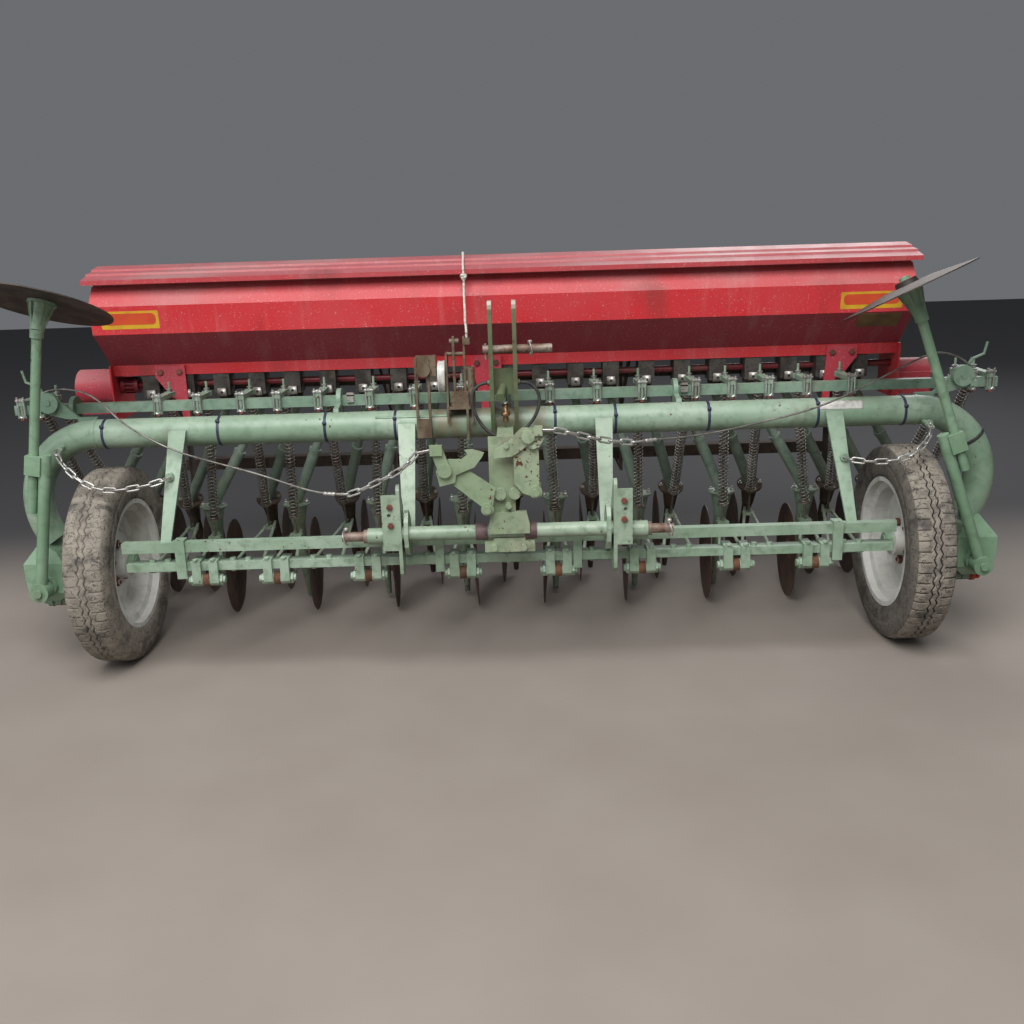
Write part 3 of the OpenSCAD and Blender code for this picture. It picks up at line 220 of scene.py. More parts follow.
def smooth_route(points, start_way, end_way):
    """A cubic spline through listed points that starts and ends in given directions. The
    slopes m follow from equal bending on both sides of each point, with h the step lengths:
    m[i-1] / h[i-1] + 2 m[i] (1 / h[i-1] + 1 / h[i]) + m[i+1] / h[i]
    = 3 (p[i] - p[i-1]) / h[i-1]**2 + 3 (p[i+1] - p[i]) / h[i]**2."""
    p = np.asarray(points, float)
    n, gap = len(p), np.diff(p, axis=0)
    h = np.linalg.norm(gap, axis=1)
    system, wanted = np.eye(n), np.zeros((n, 3))
    wanted[0], wanted[-1] = start_way, end_way
    for i in range(1, n - 1):
        system[i, i - 1:i + 2] = 1 / h[i - 1], 2 / h[i - 1] + 2 / h[i], 1 / h[i]
        wanted[i] = 3 * gap[i - 1] / h[i - 1] ** 2 + 3 * gap[i] / h[i] ** 2
    m = np.linalg.solve(system, wanted)
    u = (np.arange(SPLINE_STEPS) / SPLINE_STEPS)[None, :, None]
    a, b = p[:-1, None], p[1:, None]
    ma, mb = (m[:-1] * h[:, None])[:, None], (m[1:] * h[:, None])[:, None]
    curve = ((2 * u**3 - 3 * u**2 + 1) * a + (u**3 - 2 * u**2 + u) * ma
             + (3 * u**2 - 2 * u**3) * b + (u**3 - u**2) * mb)
    return np.vstack([curve.reshape(-1, 3), p[-1:]])


def even_steps(path, step):
    """Points at equal distances along a path, found from its running length, and that length."""
    gone = running_length(path)
    wanted = np.linspace(0, gone[-1], max(2, int(round(gone[-1] / step)) + 1))
    return np.column_stack([np.interp(wanted, gone, path[:, i]) for i in range(3)]), gone[-1]


print("mesh helpers ready")

# %% [markdown]
# ## Floor and light
# The photo has the soft light of an overcast day. One sun lamp would give hard shadows, so big
# panels are used: one hangs above and in front, a weaker one fills from the left, a third lights
# the back, and the world adds a little light from all sides. The floor gets its colour below: brown
# grey in front, and a dark painted shade behind the wheels.

# %% Floor and light
def area_light(name, place, target, size, power, colour=(1, 1, 1)):
    """A square soft light of that size in metres, aimed from place to target."""
    data = bpy.data.lights.new(name, "AREA")
    data.energy = power
    data.size = size
    data.color = colour
    made = bpy.data.objects.new(name, data)
    made.location = place
    made.rotation_euler = (Vector(target) - Vector(place)).to_track_quat("-Z", "Y").to_euler()
    bpy.context.scene.collection.objects.link(made)


FLOOR_HALF = 14
floor_mesh = bpy.data.meshes.new("floor")
floor_corners = [(u * FLOOR_HALF, v * FLOOR_HALF, 0) for u, v in ((-1, -1), (1, -1), (1, 1), (-1, 1))]
floor_mesh.from_pydata(floor_corners, [], [(0, 1, 2, 3)])
floor = bpy.data.objects.new("floor", floor_mesh)
bpy.context.scene.collection.objects.link(floor)
area_light("sky_panel", (-0.8, -3.9, 5.4), (0, 0, 0.6), 4.5, 520, (1.0, 0.99, 0.97))
area_light("left_fill", (-5.0, -3.4, 2.0), (0, 0, 0.6), 2.5, 60, (0.96, 0.98, 1.0))
area_light("back_light", (2.5, 4.5, 4.0), (0, 0, 0.8), 3.0, 130)
world = bpy.data.worlds.new("overcast")
world.use_nodes = True
background = world.node_tree.nodes["Background"]
background.inputs["Color"].default_value = (0.86, 0.9, 0.95, 1)
background.inputs["Strength"].default_value = 0.17
bpy.context.scene.world = world
bpy.context.scene.view_settings.view_transform = "Standard"
print("stage of", 2 * FLOOR_HALF, "m")

# %% [markdown]
# ## Worn finishes
# Wear could be painted on a picture for each piece, but then each piece needs its own picture. Here
# every finish is a small network of nodes on the part's own coordinates. A few noises give large
# patches, fine grain and streaks. Thresholds cut chips and rust spots from them, and dust lies
# where a face looks up. The helper below keeps each finish down to a few lines.

# %% Finish helper
class Finish:
    """A material being made: its nodes, its shader and the places that patterns read."""

    def __init__(self, name, metallic=0.0):
        self.material = bpy.data.materials.new(name)
        self.material.use_nodes = True
        self.tree = self.material.node_tree
        self.shader = self.tree.nodes["Principled BSDF"]
        self.shader.inputs["Metallic"].default_value = metallic
        self.place = self.tree.nodes.new("ShaderNodeTexCoord")

    def link(self, value, socket):
        """Feeds a socket from another socket, or sets it to a number or colour."""
        if isinstance(value, bpy.types.NodeSocket):
            self.tree.links.new(value, socket)
        elif isinstance(value, tuple) and len(value) == 3 and socket.type == "RGBA":
            socket.default_value = (*value, 1)
        else:
            socket.default_value = value

    def noise(self, scale, detail=4.0, stretch=(1, 1, 1), shift=(0, 0, 0), warp=0.0):
        """Cloudy values about one half, drawn out along an axis where stretch is small."""
        mapping = self.tree.nodes.new("ShaderNodeMapping")
        mapping.inputs["Scale"].default_value = stretch
        mapping.inputs["Location"].default_value = shift
        self.link(self.place.outputs["Object"], mapping.inputs["Vector"])
        node = self.tree.nodes.new("ShaderNodeTexNoise")
        self.link(mapping.outputs["Vector"], node.inputs["Vector"])
        node.inputs["Scale"].default_value = scale
        node.inputs["Detail"].default_value = detail
        node.inputs["Distortion"].default_value = warp
        return node.outputs["Fac"]

    def split(self, output, axis):
        """One of the three numbers of a place or a direction."""
        node = self.tree.nodes.new("ShaderNodeSeparateXYZ")
        self.link(self.place.outputs[output], node.inputs[0])
        return node.outputs[axis]

    def coordinate(self, axis):
        """The part's own X, Y or Z in metres."""
        return self.split("Object", axis)

    def facing_up(self):
        """How far a face looks up, from -1 to 1."""
        return self.split("Normal", "Z")

    def attribute(self, name):
        """A value stored on the mesh's points."""
        node = self.tree.nodes.new("ShaderNodeAttribute")
        node.attribute_name = name
        return node.outputs["Fac"]

    def between(self, value, low, high):
        """0 below low, 1 above high and a smooth rise between them."""
        node = self.tree.nodes.new("ShaderNodeMapRange")
        node.interpolation_type = "SMOOTHSTEP"
        self.link(value, node.inputs["Value"])
        node.inputs["From Min"].default_value = low
        node.inputs["From Max"].default_value = high
        return node.outputs["Result"]

    def band(self, value, middle, half, soft):
        """1 within half of middle, falling to 0 over soft beyond that."""
        gap = self.math("ABSOLUTE", self.math("SUBTRACT", value, middle), 0.0)
        return self.math("SUBTRACT", 1.0, self.between(gap, half, half + soft))

    def math(self, kind, a, b):
        """One arithmetic step on two values."""
        node = self.tree.nodes.new("ShaderNodeMath")
        node.operation = kind
        node.use_clamp = kind not in ("SUBTRACT", "ABSOLUTE")
        self.link(a, node.inputs[0])
        self.link(b, node.inputs[1])
        return node.outputs[0]

    def mix(self, share, a, b):
        """Colour a where share is 0 and colour b where it is 1."""
        node = self.tree.nodes.new("ShaderNodeMix")
        node.data_type = "RGBA"
        self.link(share, node.inputs["Factor"])
        self.link(a, node.inputs[6])
        self.link(b, node.inputs[7])
        return node.outputs[2]

    def over(self, base, mask, share, colour):
        """A colour laid on base as far as mask says, and no stronger than share."""
        return self.mix(self.math("MULTIPLY", mask, share), base, colour)

    def bump(self, height, strength, distance):
        """Fine relief from a value."""
        node = self.tree.nodes.new("ShaderNodeBump")
        node.inputs["Strength"].default_value = strength
        node.inputs["Distance"].default_value = distance
        self.link(height, node.inputs["Height"])
        self.link(node.outputs["Normal"], self.shader.inputs["Normal"])

    def done(self, colour, roughness):
        """Joins colour and roughness to the shader and gives the material."""
        self.link(colour, self.shader.inputs["Base Color"])
        self.link(roughness, self.shader.inputs["Roughness"])
        return self.material


def plain(name, colour, dark, roughness=0.6, metallic=0.0, grain=60):
    """A small part's finish: two tones in clouds with a fine grain."""
    f = Finish(name, metallic)
    base = f.mix(f.between(f.noise(grain, 5), 0.35, 0.7), colour, dark)
    f.bump(f.noise(grain * 3, 4), 0.25, 0.0006)
    return f.done(base, roughness)


print("finish helper ready")

# %% [markdown]
# ## Paint
# Farm paint fades where the sun and rain reach it, collects brown dust on top and in streaks, and
# lets rust through in small chips. The CAD meshes have few points, so wear can't be stored on their
# corners and comes from noises. The same recipe serves all painted pieces, with its own colours and
# amounts. The long tube gets rust runs at its middle, below the levers that stand on it.

# %% Paint recipe
SOIL = (0.15, 0.11, 0.075)
RUST = (0.135, 0.05, 0.025)


def paint(name, colour, faded, rust_share=0.35, dirt_share=0.5, rust_colour=RUST, stain=None, edge_top=None):
    """Worn paint: patches of faded colour, streaks of soil, chips of rust and fine grain.
    rust_share and dirt_share run from 0, none, to 1, half covered. stain is the X range, in
    metres, where rust has run down. edge_top is a height above which the paint is worn pale."""
    f = Finish(name)
    patches = f.between(f.noise(4, 5), 0.3, 0.7)
    mottle = f.noise(38, 6, warp=0.4)
    base = f.mix(patches, colour, faded)
    base = f.mix(f.between(mottle, 0.42, 0.8), base, tuple(c * 0.8 for c in colour))
    base = f.over(base, f.between(f.facing_up(), 0.1, 0.95), 0.3, faded)
    shaded = tuple(0.4 * c + 0.35 * d for c, d in zip(colour, SOIL))
    base = f.over(base, f.between(f.facing_up(), -0.35, -0.9), 0.55, shaded)
    streaks = f.noise(9, 5, stretch=(1, 1, 0.22), shift=(3, 1, 7))
    dirt = f.between(streaks, 0.66 - 0.16 * dirt_share, 0.82 - 0.1 * dirt_share)
    base = f.over(base, dirt, 0.3 + 0.45 * dirt_share, SOIL)
    if stain:
        low, high = stain
        inside = f.band(f.coordinate("X"), (low + high) / 2, (high - low) / 2, 0.05)
        runs = f.between(f.noise(26, 5, stretch=(1, 1, 0.12)), 0.3, 0.62)
        base = f.over(base, inside, f.math("MULTIPLY", runs, 0.6), (0.2, 0.13, 0.08))
    if edge_top:
        worn = f.between(f.coordinate("Z"), edge_top - 0.004, edge_top)
        base = f.over(base, worn, 0.8, (0.42, 0.4, 0.34))
    chips = f.noise(95, 8, shift=(1, 5, 2))
    regions = f.noise(6, 4, shift=(9, 2, 4))
    rust = f.between(f.math("ADD", chips, f.math("MULTIPLY", regions, 0.45)),
                     0.985 - 0.17 * rust_share, 1.02 - 0.17 * rust_share)
    dark_rust = tuple(c * 0.5 for c in rust_colour)
    base = f.mix(rust, base, f.mix(f.between(f.noise(180, 4), 0.35, 0.65), rust_colour, dark_rust))
    f.bump(f.math("SUBTRACT", f.math("MULTIPLY", mottle, 0.3), f.math("MULTIPLY", rust, 0.7)), 0.35, 0.0012)
    return f.done(base, f.mix(f.math("ADD", rust, f.math("MULTIPLY", dirt, 0.5)), (0.42,) * 3, (0.85,) * 3))


sage = paint("sage_green_paint", (0.2, 0.3, 0.205), (0.33, 0.43, 0.335), 0.35, 0.4)
tube_green = paint("tube_green_paint", (0.195, 0.3, 0.205), (0.33, 0.43, 0.335), 0.15, 0.35,
                   stain=(-0.2, 0.1))
hitch_green = paint("hitch_green_paint", (0.21, 0.3, 0.205), (0.34, 0.43, 0.33), 0.5, 0.4)
plate_green = paint("plate_green_paint", (0.23, 0.31, 0.19), (0.34, 0.4, 0.28), 0.6, 0.5)
mint = paint("arm_green_paint", (0.165, 0.28, 0.175), (0.26, 0.38, 0.27), 0.2, 0.3)
bar_green = paint("deep_green_paint", (0.15, 0.245, 0.175), (0.25, 0.35, 0.27), 0.25, 0.35)
casting_green = paint("casting_green_paint", (0.165, 0.25, 0.175), (0.27, 0.36, 0.28), 0.4, 0.55)
dirty_green = paint("dirty_green_paint", (0.165, 0.24, 0.17), (0.25, 0.31, 0.23), 0.55, 0.8)
olive = paint("post_green_paint", (0.085, 0.12, 0.06), (0.14, 0.17, 0.09), 0.35, 0.6, edge_top=1.068)
print("green paints ready")

# %% [markdown]
# ## Red hopper paint
# The hopper's red is a clear red on the upright band. Where the sheet looks up it is a dusty pink,
# partly faded paint and partly painted sky light, and the panel that leans in below it is a deep
# maroon of painted shade. Three materials on three groups of faces could give that. One material
# that reads how far a face looks up does it without touching the mesh, and also makes the change
# soft at a rounded edge. Rain has left pale runs.

# %% Red paints
def red_paint(name, colour, faded_and_lit, shade_maroon, fade_and_light_share=0.8):
    """Red paint, pale on faces that look up, partly faded paint and partly painted sky light, and a
    maroon painted shade on faces that look down, with pale runs, grey dust and pinhead scratches."""
    f = Finish(name)
    up = f.between(f.facing_up(), 0.25, 0.85)
    down = f.between(f.facing_up(), -0.2, -0.5)
    clouds = f.between(f.noise(3.2, 6, warp=0.6), 0.25, 0.75)
    base = f.over(colour, clouds, 0.22, faded_and_lit)
    # faces that look up turn pale: partly faded paint, partly painted sky light
    base = f.over(base, up, fade_and_light_share, faded_and_lit)
    # faces that look down turn maroon: painted shade
    base = f.over(base, down, 0.85, shade_maroon)
    runs = f.between(f.noise(15, 5, stretch=(1.6, 0.5, 0.16)), 0.52, 0.72)
    base = f.over(base, runs, 0.14, (0.5, 0.3, 0.29))
    dusty = f.between(f.noise(5, 6, stretch=(0.5, 1, 1), shift=(6, 2, 8)), 0.45, 0.7)
    base = f.over(base, f.math("MULTIPLY", up, dusty), 0.45, (0.33, 0.25, 0.24))
    specks = f.between(f.noise(210, 3, shift=(4, 4, 4)), 0.63, 0.7)
    base = f.over(base, specks, 0.45, (0.6, 0.42, 0.4))
    grime = f.between(f.noise(7, 6, stretch=(1, 1, 0.4), shift=(2, 8, 1)), 0.56, 0.78)
    base = f.over(base, grime, 0.45, (0.1, 0.035, 0.03))
    chips = f.between(f.noise(70, 8, shift=(6, 1, 3)), 0.72, 0.75)
    base = f.mix(chips, base, RUST)
    f.bump(f.math("MULTIPLY", f.noise(30, 6), 0.4), 0.25, 0.002)
    return f.done(base, f.mix(clouds, (0.38,) * 3, (0.62,) * 3))


# each red's third colour is the maroon painted shade on faces that look down; its second is faded paint and
# painted sky light on faces that look up
hopper_red = red_paint("hopper_red_paint", (0.56, 0.018, 0.026), (0.46, 0.11, 0.12),
                       (0.25, 0.035, 0.055), 0.65)
lid_red = red_paint("lid_red_paint", (0.42, 0.04, 0.05), (0.33, 0.1, 0.11), (0.15, 0.02, 0.025), 0.75)
flange_red = red_paint("flange_red_paint", (0.47, 0.03, 0.055), (0.42, 0.14, 0.15), (0.2, 0.02, 0.03))
iron_red = paint("shaft_red_paint", (0.19, 0.016, 0.026), (0.25, 0.045, 0.055), 0.5, 0.8)
print("red paints ready")

# %% [markdown]
# ## Metal, rubber and soil
# Discs and boots are bare or rusty iron, the springs are dull steel with a brown skin, and the
# tyres carry dried soil on the blocks and are coloured nearly black down in the grooves. One recipe
# with two tones and pits serves all the iron, because its kinds differ only in tone, shine and soil.
# Small parts get a plainer one.

# %% Bare metals, rubber and small finishes
def iron(name, light, dark, metallic=0.35, roughness=0.7, soil=0.3):
    """Rusty or dull iron: two tones in clouds and pits, with some soil on top."""
    f = Finish(name, metallic)
    clouds = f.between(f.noise(14, 8, warp=0.8), 0.3, 0.7)
    pits = f.noise(120, 6)
    base = f.mix(clouds, dark, light)
    base = f.mix(f.between(pits, 0.55, 0.75), base, tuple(c * 0.55 for c in dark))
    dust = f.between(f.noise(24, 6, shift=(5, 2, 1)), 0.52, 0.7)
    base = f.over(base, dust, soil, SOIL)
    f.bump(pits, 0.45, 0.0015)
    return f.done(base, roughness)


rusty = iron("rusty_iron", (0.2, 0.09, 0.05), (0.09, 0.04, 0.022), 0.2, 0.85)
red_rust = iron("red_rusty_iron", (0.23, 0.08, 0.055), (0.11, 0.04, 0.03), 0.15, 0.8, 0.15)
boot_iron = iron("boot_iron", (0.12, 0.085, 0.06), (0.06, 0.04, 0.03), 0.2, 0.8, 0.4)
disc_iron = iron("disc_iron", (0.13, 0.075, 0.05), (0.055, 0.033, 0.024), 0.45, 0.55, 0.4)
marker_iron = iron("marker_disc_iron", (0.085, 0.058, 0.048), (0.032, 0.024, 0.022), 0.4, 0.6, 0.2)
lever_iron = iron("lever_iron", (0.2, 0.16, 0.11), (0.1, 0.065, 0.04), 0.35, 0.65, 0.3)
pin_iron = iron("pin_iron", (0.34, 0.29, 0.25), (0.15, 0.08, 0.055), 0.4, 0.6, 0.3)
band_brown = plain("band_brown", (0.13, 0.08, 0.08), (0.08, 0.05, 0.05), 0.6)
dull_steel = iron("dull_steel", (0.3, 0.285, 0.25), (0.16, 0.13, 0.1), 0.75, 0.5, 0.35)
spring_steel = iron("spring_steel", (0.3, 0.28, 0.25), (0.13, 0.11, 0.09), 0.7, 0.45, 0.2)
zinc = iron("dusty_zinc", (0.55, 0.54, 0.51), (0.34, 0.32, 0.29), 0.6, 0.42, 0.2)
chain_zinc = iron("chain_zinc", (0.62, 0.62, 0.6), (0.38, 0.37, 0.35), 0.8, 0.38, 0.08)
feed_iron = iron("feed_unit_iron", (0.12, 0.11, 0.1), (0.045, 0.04, 0.035), 0.5, 0.6, 0.4)
brass = iron("dull_brass", (0.42, 0.28, 0.14), (0.26, 0.15, 0.08), 0.8, 0.45, 0.1)
tube_grey = paint("seed_tube_paint", (0.17, 0.245, 0.19), (0.26, 0.33, 0.27), 0.2, 0.7)
white = paint("rim_white_paint", (0.6, 0.61, 0.58), (0.7, 0.7, 0.66), 0.2, 0.5, (0.3, 0.17, 0.07))
board_iron = iron("footboard_iron", (0.12, 0.09, 0.07), (0.06, 0.045, 0.036), 0.2, 0.85)
tie_blue = plain("tie_blue_plastic", (0.03, 0.04, 0.09), (0.015, 0.02, 0.045), 0.5)
# black rubber for the hose and the band, and painted shade for the holes in the feed tabs
black_rubber_and_shade = plain("black_rubber_and_shade", (0.018, 0.018, 0.019), (0.05, 0.046, 0.042), 0.6)
white_plastic = plain("white_plastic", (0.62, 0.62, 0.6), (0.42, 0.41, 0.38), 0.5)
sticker_yellow = plain("sticker_yellow", (0.62, 0.36, 0.02), (0.5, 0.27, 0.02), 0.45, 0, 20)
sticker_red = plain("sticker_red_field", (0.58, 0.07, 0.02), (0.5, 0.05, 0.02), 0.5, 0, 20)
sticker_tan = plain("sticker_tan", (0.2, 0.13, 0.05), (0.12, 0.07, 0.035), 0.6, 0, 12)
signal_red = plain("signal_red_paint", (0.5, 0.06, 0.02), (0.34, 0.04, 0.02), 0.5)


def tyre_finish():
    """Dusty rubber: the stored height is 1 on the blocks and 0 down in the grooves. Soil is
    thicker in clouds, so some stretches of tread look tan and others nearly black."""
    f = Finish("tyre_rubber")
    height = f.attribute("tread_height")
    dust = f.between(f.noise(26, 8, warp=0.5), 0.3, 0.62)
    caked = f.between(f.noise(7, 5, shift=(2, 3, 5)), 0.42, 0.6)
    dusty = f.mix(dust, (0.085, 0.077, 0.068), (0.25, 0.225, 0.19))
    dusty = f.over(dusty, caked, 0.45, (0.33, 0.295, 0.245))
    dark = f.mix(f.between(f.noise(60, 5), 0.4, 0.7), (0.012, 0.012, 0.012), (0.05, 0.04, 0.033))
    # nearly black in the grooves, dusty on the blocks
    base = f.mix(f.between(height, 0.25, 0.8), dark, dusty)
    cracks = f.band(f.noise(42, 7, warp=0.8), 0.5, 0.006, 0.016)
    base = f.over(base, cracks, 0.75, (0.022, 0.02, 0.018))
    f.bump(f.noise(150, 6), 0.6, 0.0018)
    return f.done(base, 0.92)


tyre_rubber = tyre_finish()
print("metals and rubber ready")

# %% [markdown]
# ## Dress the CAD nodes
# A copy of each solid with a new material would lie in the same place as the solid, so the CAD
# objects are dressed themselves. A table goes from a finish to the nodes that wear it, and each
# object keeps its mesh and only gets another material in its slots.

# %% Finishes of the CAD nodes
WORN_BY = [
    (tube_green, ["portal_tube"]),
    (sage, ["front_bar", "coulter_bar", "coulter_clamps"]),
    (hitch_green, ["hitch_frame"]),
    (plate_green, ["centre_plate", "latches"]),
    (olive, ["top_link_bars"]),
    (casting_green, ["pressure_castings"]),
    (mint, ["axle_housings", "marker_arm_left", "marker_arm_right"]),
    (bar_green, ["pressure_bar"]),
    (dirty_green, ["front_boots", "coulter_arms"]),
    (tube_grey, ["seed_tubes"]),
    (boot_iron, ["rear_boots"]),
    (pin_iron, ["hitch_pins"]),
    (lever_iron, ["changeover_unit"]),
    (dull_steel, ["spring_rods"]),
    (feed_iron, ["feed_units"]),
    (hopper_red, ["hopper"]),
    (flange_red, ["hopper_brackets", "drive_covers"]),
    (lid_red, ["hopper_lid"]),
    (iron_red, ["feed_shaft"]),
    (board_iron, ["footboard"]),
    (white, ["rim_left", "rim_right"]),
    (marker_iron, ["marker_disc_left", "marker_disc_right"]),
    (disc_iron, [n for n in nodes if n.startswith("coulter_disc_")]),
]
for finish, wearers in WORN_BY:
    for name in wearers:
        nodes[name].data.materials.clear()
        nodes[name].data.materials.append(finish)
replaced_later = sorted(set(nodes) - {n for _, wearers in WORN_BY for n in wearers})
print("dressed", sum(len(w) for _, w in WORN_BY), "nodes; replaced below:", replaced_later)

f = Finish("pale_floor")
ground = f.mix(f.noise(3, 3), (0.24, 0.205, 0.18), (0.3, 0.265, 0.235))
# painted shade: the floor turns nearly black behind the wheels
behind = f.between(f.coordinate("Y"), 0.0, 1.3)
floor.data.materials.append(f.done(f.mix(behind, ground, (0.045, 0.045, 0.048)), 0.85))

# %% [markdown]
# ## Cables, rope and hose
# Two thin wire cables run from the marker arms' pulleys along the drill to the latch chains, a
# white rope opens the lid, and a short black hose loops through the top link bars. A curve with a
# round bevel would be smooth all round. Each cord is swept as a grid instead, along the same round
# points as its CAD solid, so that strands can be laid in it as ridges that turn about the path,
# with shallow valleys between them.

# %% Cords
def lead(points, step=3.0):
    """A route in equal steps: its first and last steps are straight, as where a cord leaves a
    fitting, and a spline joins them in the same directions."""
    p = np.asarray(points, float)
    bends = smooth_route(p[1:-1], unit(p[1] - p[0]), unit(p[-1] - p[-2]))
    return even_steps(np.vstack([p[:1], bends, p[-1:]]), step)


def strands(path, sides, count, lay, depth):
    """Radius shares of a laid rope: 1 - depth * (1 - |cos(count / 2 * (angle - turn))|), where turn
    grows by a full turn every lay millimetres of path."""
    angle = np.linspace(0, 2 * np.pi, sides, endpoint=False)
    turn = 2 * np.pi * running_length(path)[:, None] / lay
    return 1 - depth * (1 - np.abs(np.cos(count / 2 * (angle - turn))))


def cord_piece(name, points, diameter, finish, laid=None, sides=18, replaces=(), body="frame", **said):
    path, length = lead(points)
    shares = strands(path, sides, *laid) if laid else 1.0
    piece = add_piece(name, tube(path, diameter / 2, sides, (0, 0.2, 1), shares), finish, body, replaces)
    print(name, round(length), "mm in", len(path), "rings")


steel_cable = iron("cable_strands", (0.33, 0.32, 0.3), (0.14, 0.13, 0.12), 0.7, 0.5, 0.3)
rope_white = plain("rope_fibre_white", (0.6, 0.58, 0.53), (0.36, 0.33, 0.28), 0.85, 0, 120)
LEFT_CABLE = [
    [-1422, 15, 803.3], [-1422, 15, 814], [-1413, 15, 840], [-1392, 15, 852], [-1345, 15, 858],
    [-1298, 14, 852], [-1220, -15, 820], [-1160, -52, 776], [-1089, -84, 734], [-1011, -98, 694],
    [-873, -140, 655], [-683, -200, 612], [-500, -263, 575], [-480, -270, 575]]
RIGHT_CABLE = [
    [390.4, -240.8, 696], [410.4, -231.8, 696], [473, -198, 693], [595, -155, 696], [752, -112, 716],
    [926, -84, 752], [1045, -54, 792], [1159, -18, 837], [1253, 8, 874], [1316, 15, 888],
    [1362, 15, 878], [1398, 15, 857], [1415, 15, 838], [1422, 15, 814], [1422, 15, 803.3]]
LID_ROPE = [
    [-106, -38, 980.3], [-106, -38, 986], [-106, -34, 1002], [-107, -20, 1013], [-110, 10, 1021],
    [-112, 60, 1040], [-114, 98, 1074], [-115, 118, 1112], [-115, 128, 1136], [-115, 130, 1148]]
ROPE_ON_LID = [
    [-115, 133, 1152], [-115.5, 134, 1166], [-116, 140, 1179], [-117, 160, 1187], [-118, 190, 1194],
    [-119, 240, 1206], [-122, 300, 1217], [-126, 400, 1215], [-130, 500, 1211], [-134, 590, 1207],
    [-137, 630, 1201], [-138, 642, 1198]]
OIL_HOSE = [
    [48.3, -70, 850], [52, -70, 850], [84, -70, 840], [103, -73, 808], [96, -80, 762], [60, -86, 714],
    [4, -88, 690], [-50, -86, 708], [-84, -80, 754], [-96, -74, 804], [-83, -71, 836.5], [-51.3, -70, 850],
    [-48.3, -70, 850]]
cord_piece("cable_left", LEFT_CABLE, 6, steel_cable, (6, 34, 0.2), replaces=["marker_cable_left"],
           far_end="object", stiffness="medium", lay="loose")
cord_piece("cable_right", RIGHT_CABLE, 6, steel_cable, (6, 34, 0.2), replaces=["marker_cable_right"],
           far_end="object", stiffness="medium", lay="loose")
cord_piece("rope_to_lid", LID_ROPE, 8, rope_white, (3, 26, 0.22), replaces=["lid_rope"],
           far_end="object", stiffness="limp", lay="taut")
cord_piece("rope_over_lid", ROPE_ON_LID, 8, rope_white, (3, 26, 0.22), body="lid",
           far_end="object", stiffness="limp", lay="taut")
cord_piece("hose_loop", OIL_HOSE, 10, black_rubber_and_shade, None, 16, ["oil_hose"],
           far_end="object", stiffness="medium", lay="hanging")

# %% [markdown]
# ## What sits on the cords
# Crimped sleeves hold the cable eyes next to the chains. The rope is knotted where it passes the
# lip of the lid. A real knot's path is long to work out, and only its outline shows at this size,
# so it is drawn as the simplest closed knot, three lobes of rope round one another.

# %% Sleeves and knots
SLEEVE_FROM, SLEEVE_TO, SLEEVE_R, KNOT_SIZE, KNOT_ROPE_R = 6, 44, 5.4, 8, 3.9
SLEEVE_PROFILE = [(0, 0.7), (0.06, 1), (0.26, 1), (0.34, 0.78), (0.42, 1),
                  (0.6, 1), (0.68, 0.78), (0.76, 1), (0.94, 1), (1, 0.7)]


def sleeve(path):
    """A crimped sleeve near the start of a path: a lathe shape with two pinched waists."""
    a, b = np.asarray(path[:2], float)
    along = unit(b - a)
    profile = [(place, share * SLEEVE_R) for place, share in SLEEVE_PROFILE]
    return turned(profile, a + along * SLEEVE_FROM, a + along * SLEEVE_TO, 14)


def knot(middle):
    """A trefoil: x = sin t + 2 sin 2t, z = cos t - 2 cos 2t and, from front to back, y = -sin 3t,
    swept as a tube."""
    t = np.linspace(0, 2 * np.pi, 73)[:-1]
    curve = np.column_stack([np.sin(t) + 2 * np.sin(2 * t), -np.sin(3 * t), np.cos(t) - 2 * np.cos(2 * t)])
    curve = np.asarray(middle, float) + curve * KNOT_SIZE / 3
    along = unit(np.roll(curve, -1, 0) - np.roll(curve, 1, 0))
    side = unit(np.cross(along, (0.2, 1, 0.1)))
    return closed_wire(curve, side, np.cross(along, side), KNOT_ROPE_R, 12)


add_piece("cable_sleeves", together([sleeve(LEFT_CABLE[::-1]), sleeve(RIGHT_CABLE)]), zinc)
add_piece("rope_knot", knot([-115, 130, 1150]), rope_white)
add_piece("rope_knot_behind", knot([-139, 646, 1190]), rope_white, "lid")
print("sleeves and knots made")

# %% [markdown]
# ## Latch chains
# Long-link chain hangs from the struts and the latches. A link is a round bar bent into a stadium:
# two straight sides joined by half circles. Copies spread along a curve would bend with it, and
# steel links don't, so each link is made between two points at equal distances along the chain.
# Every second link is turned a quarter about the chain, so each lies inside its neighbours.

# %% Chains
LINK_WIRE, LINK_WIDTH, LINK_PITCH = 6.0, 20.0, 34.0
CHAINS = [
    [[-1000, -128.3, 606], [-1000, -136, 606], [-1010, -152, 603], [-1036, -163, 596], [-1092, -172, 587],
     [-1150, -180, 583], [-1210, -176, 594], [-1266, -158, 624], [-1312, -130, 662], [-1332, -106, 682],
     [-1338, -86, 690], [-1338, -78.3, 690]],
    [[1000, -128.3, 606], [1000, -136, 606], [1011, -153, 605], [1036, -164, 602], [1090, -174, 601],
     [1150, -178, 608], [1206, -162, 632], [1244, -132, 666], [1258, -108, 683], [1262, -86, 690],
     [1262, -78.3, 690]],
    [[-479.7, -270.1, 575], [-459.7, -277.1, 575], [-400, -292, 594], [-324, -312, 632],
     [-262, -328, 676], [-224, -334, 706], [-206.3, -334, 706]],
    [[104.3, -327, 752], [120, -327, 752], [180, -315, 740], [256, -290, 716], [330, -264, 700],
     [370, -250, 696], [390, -241, 696]]]


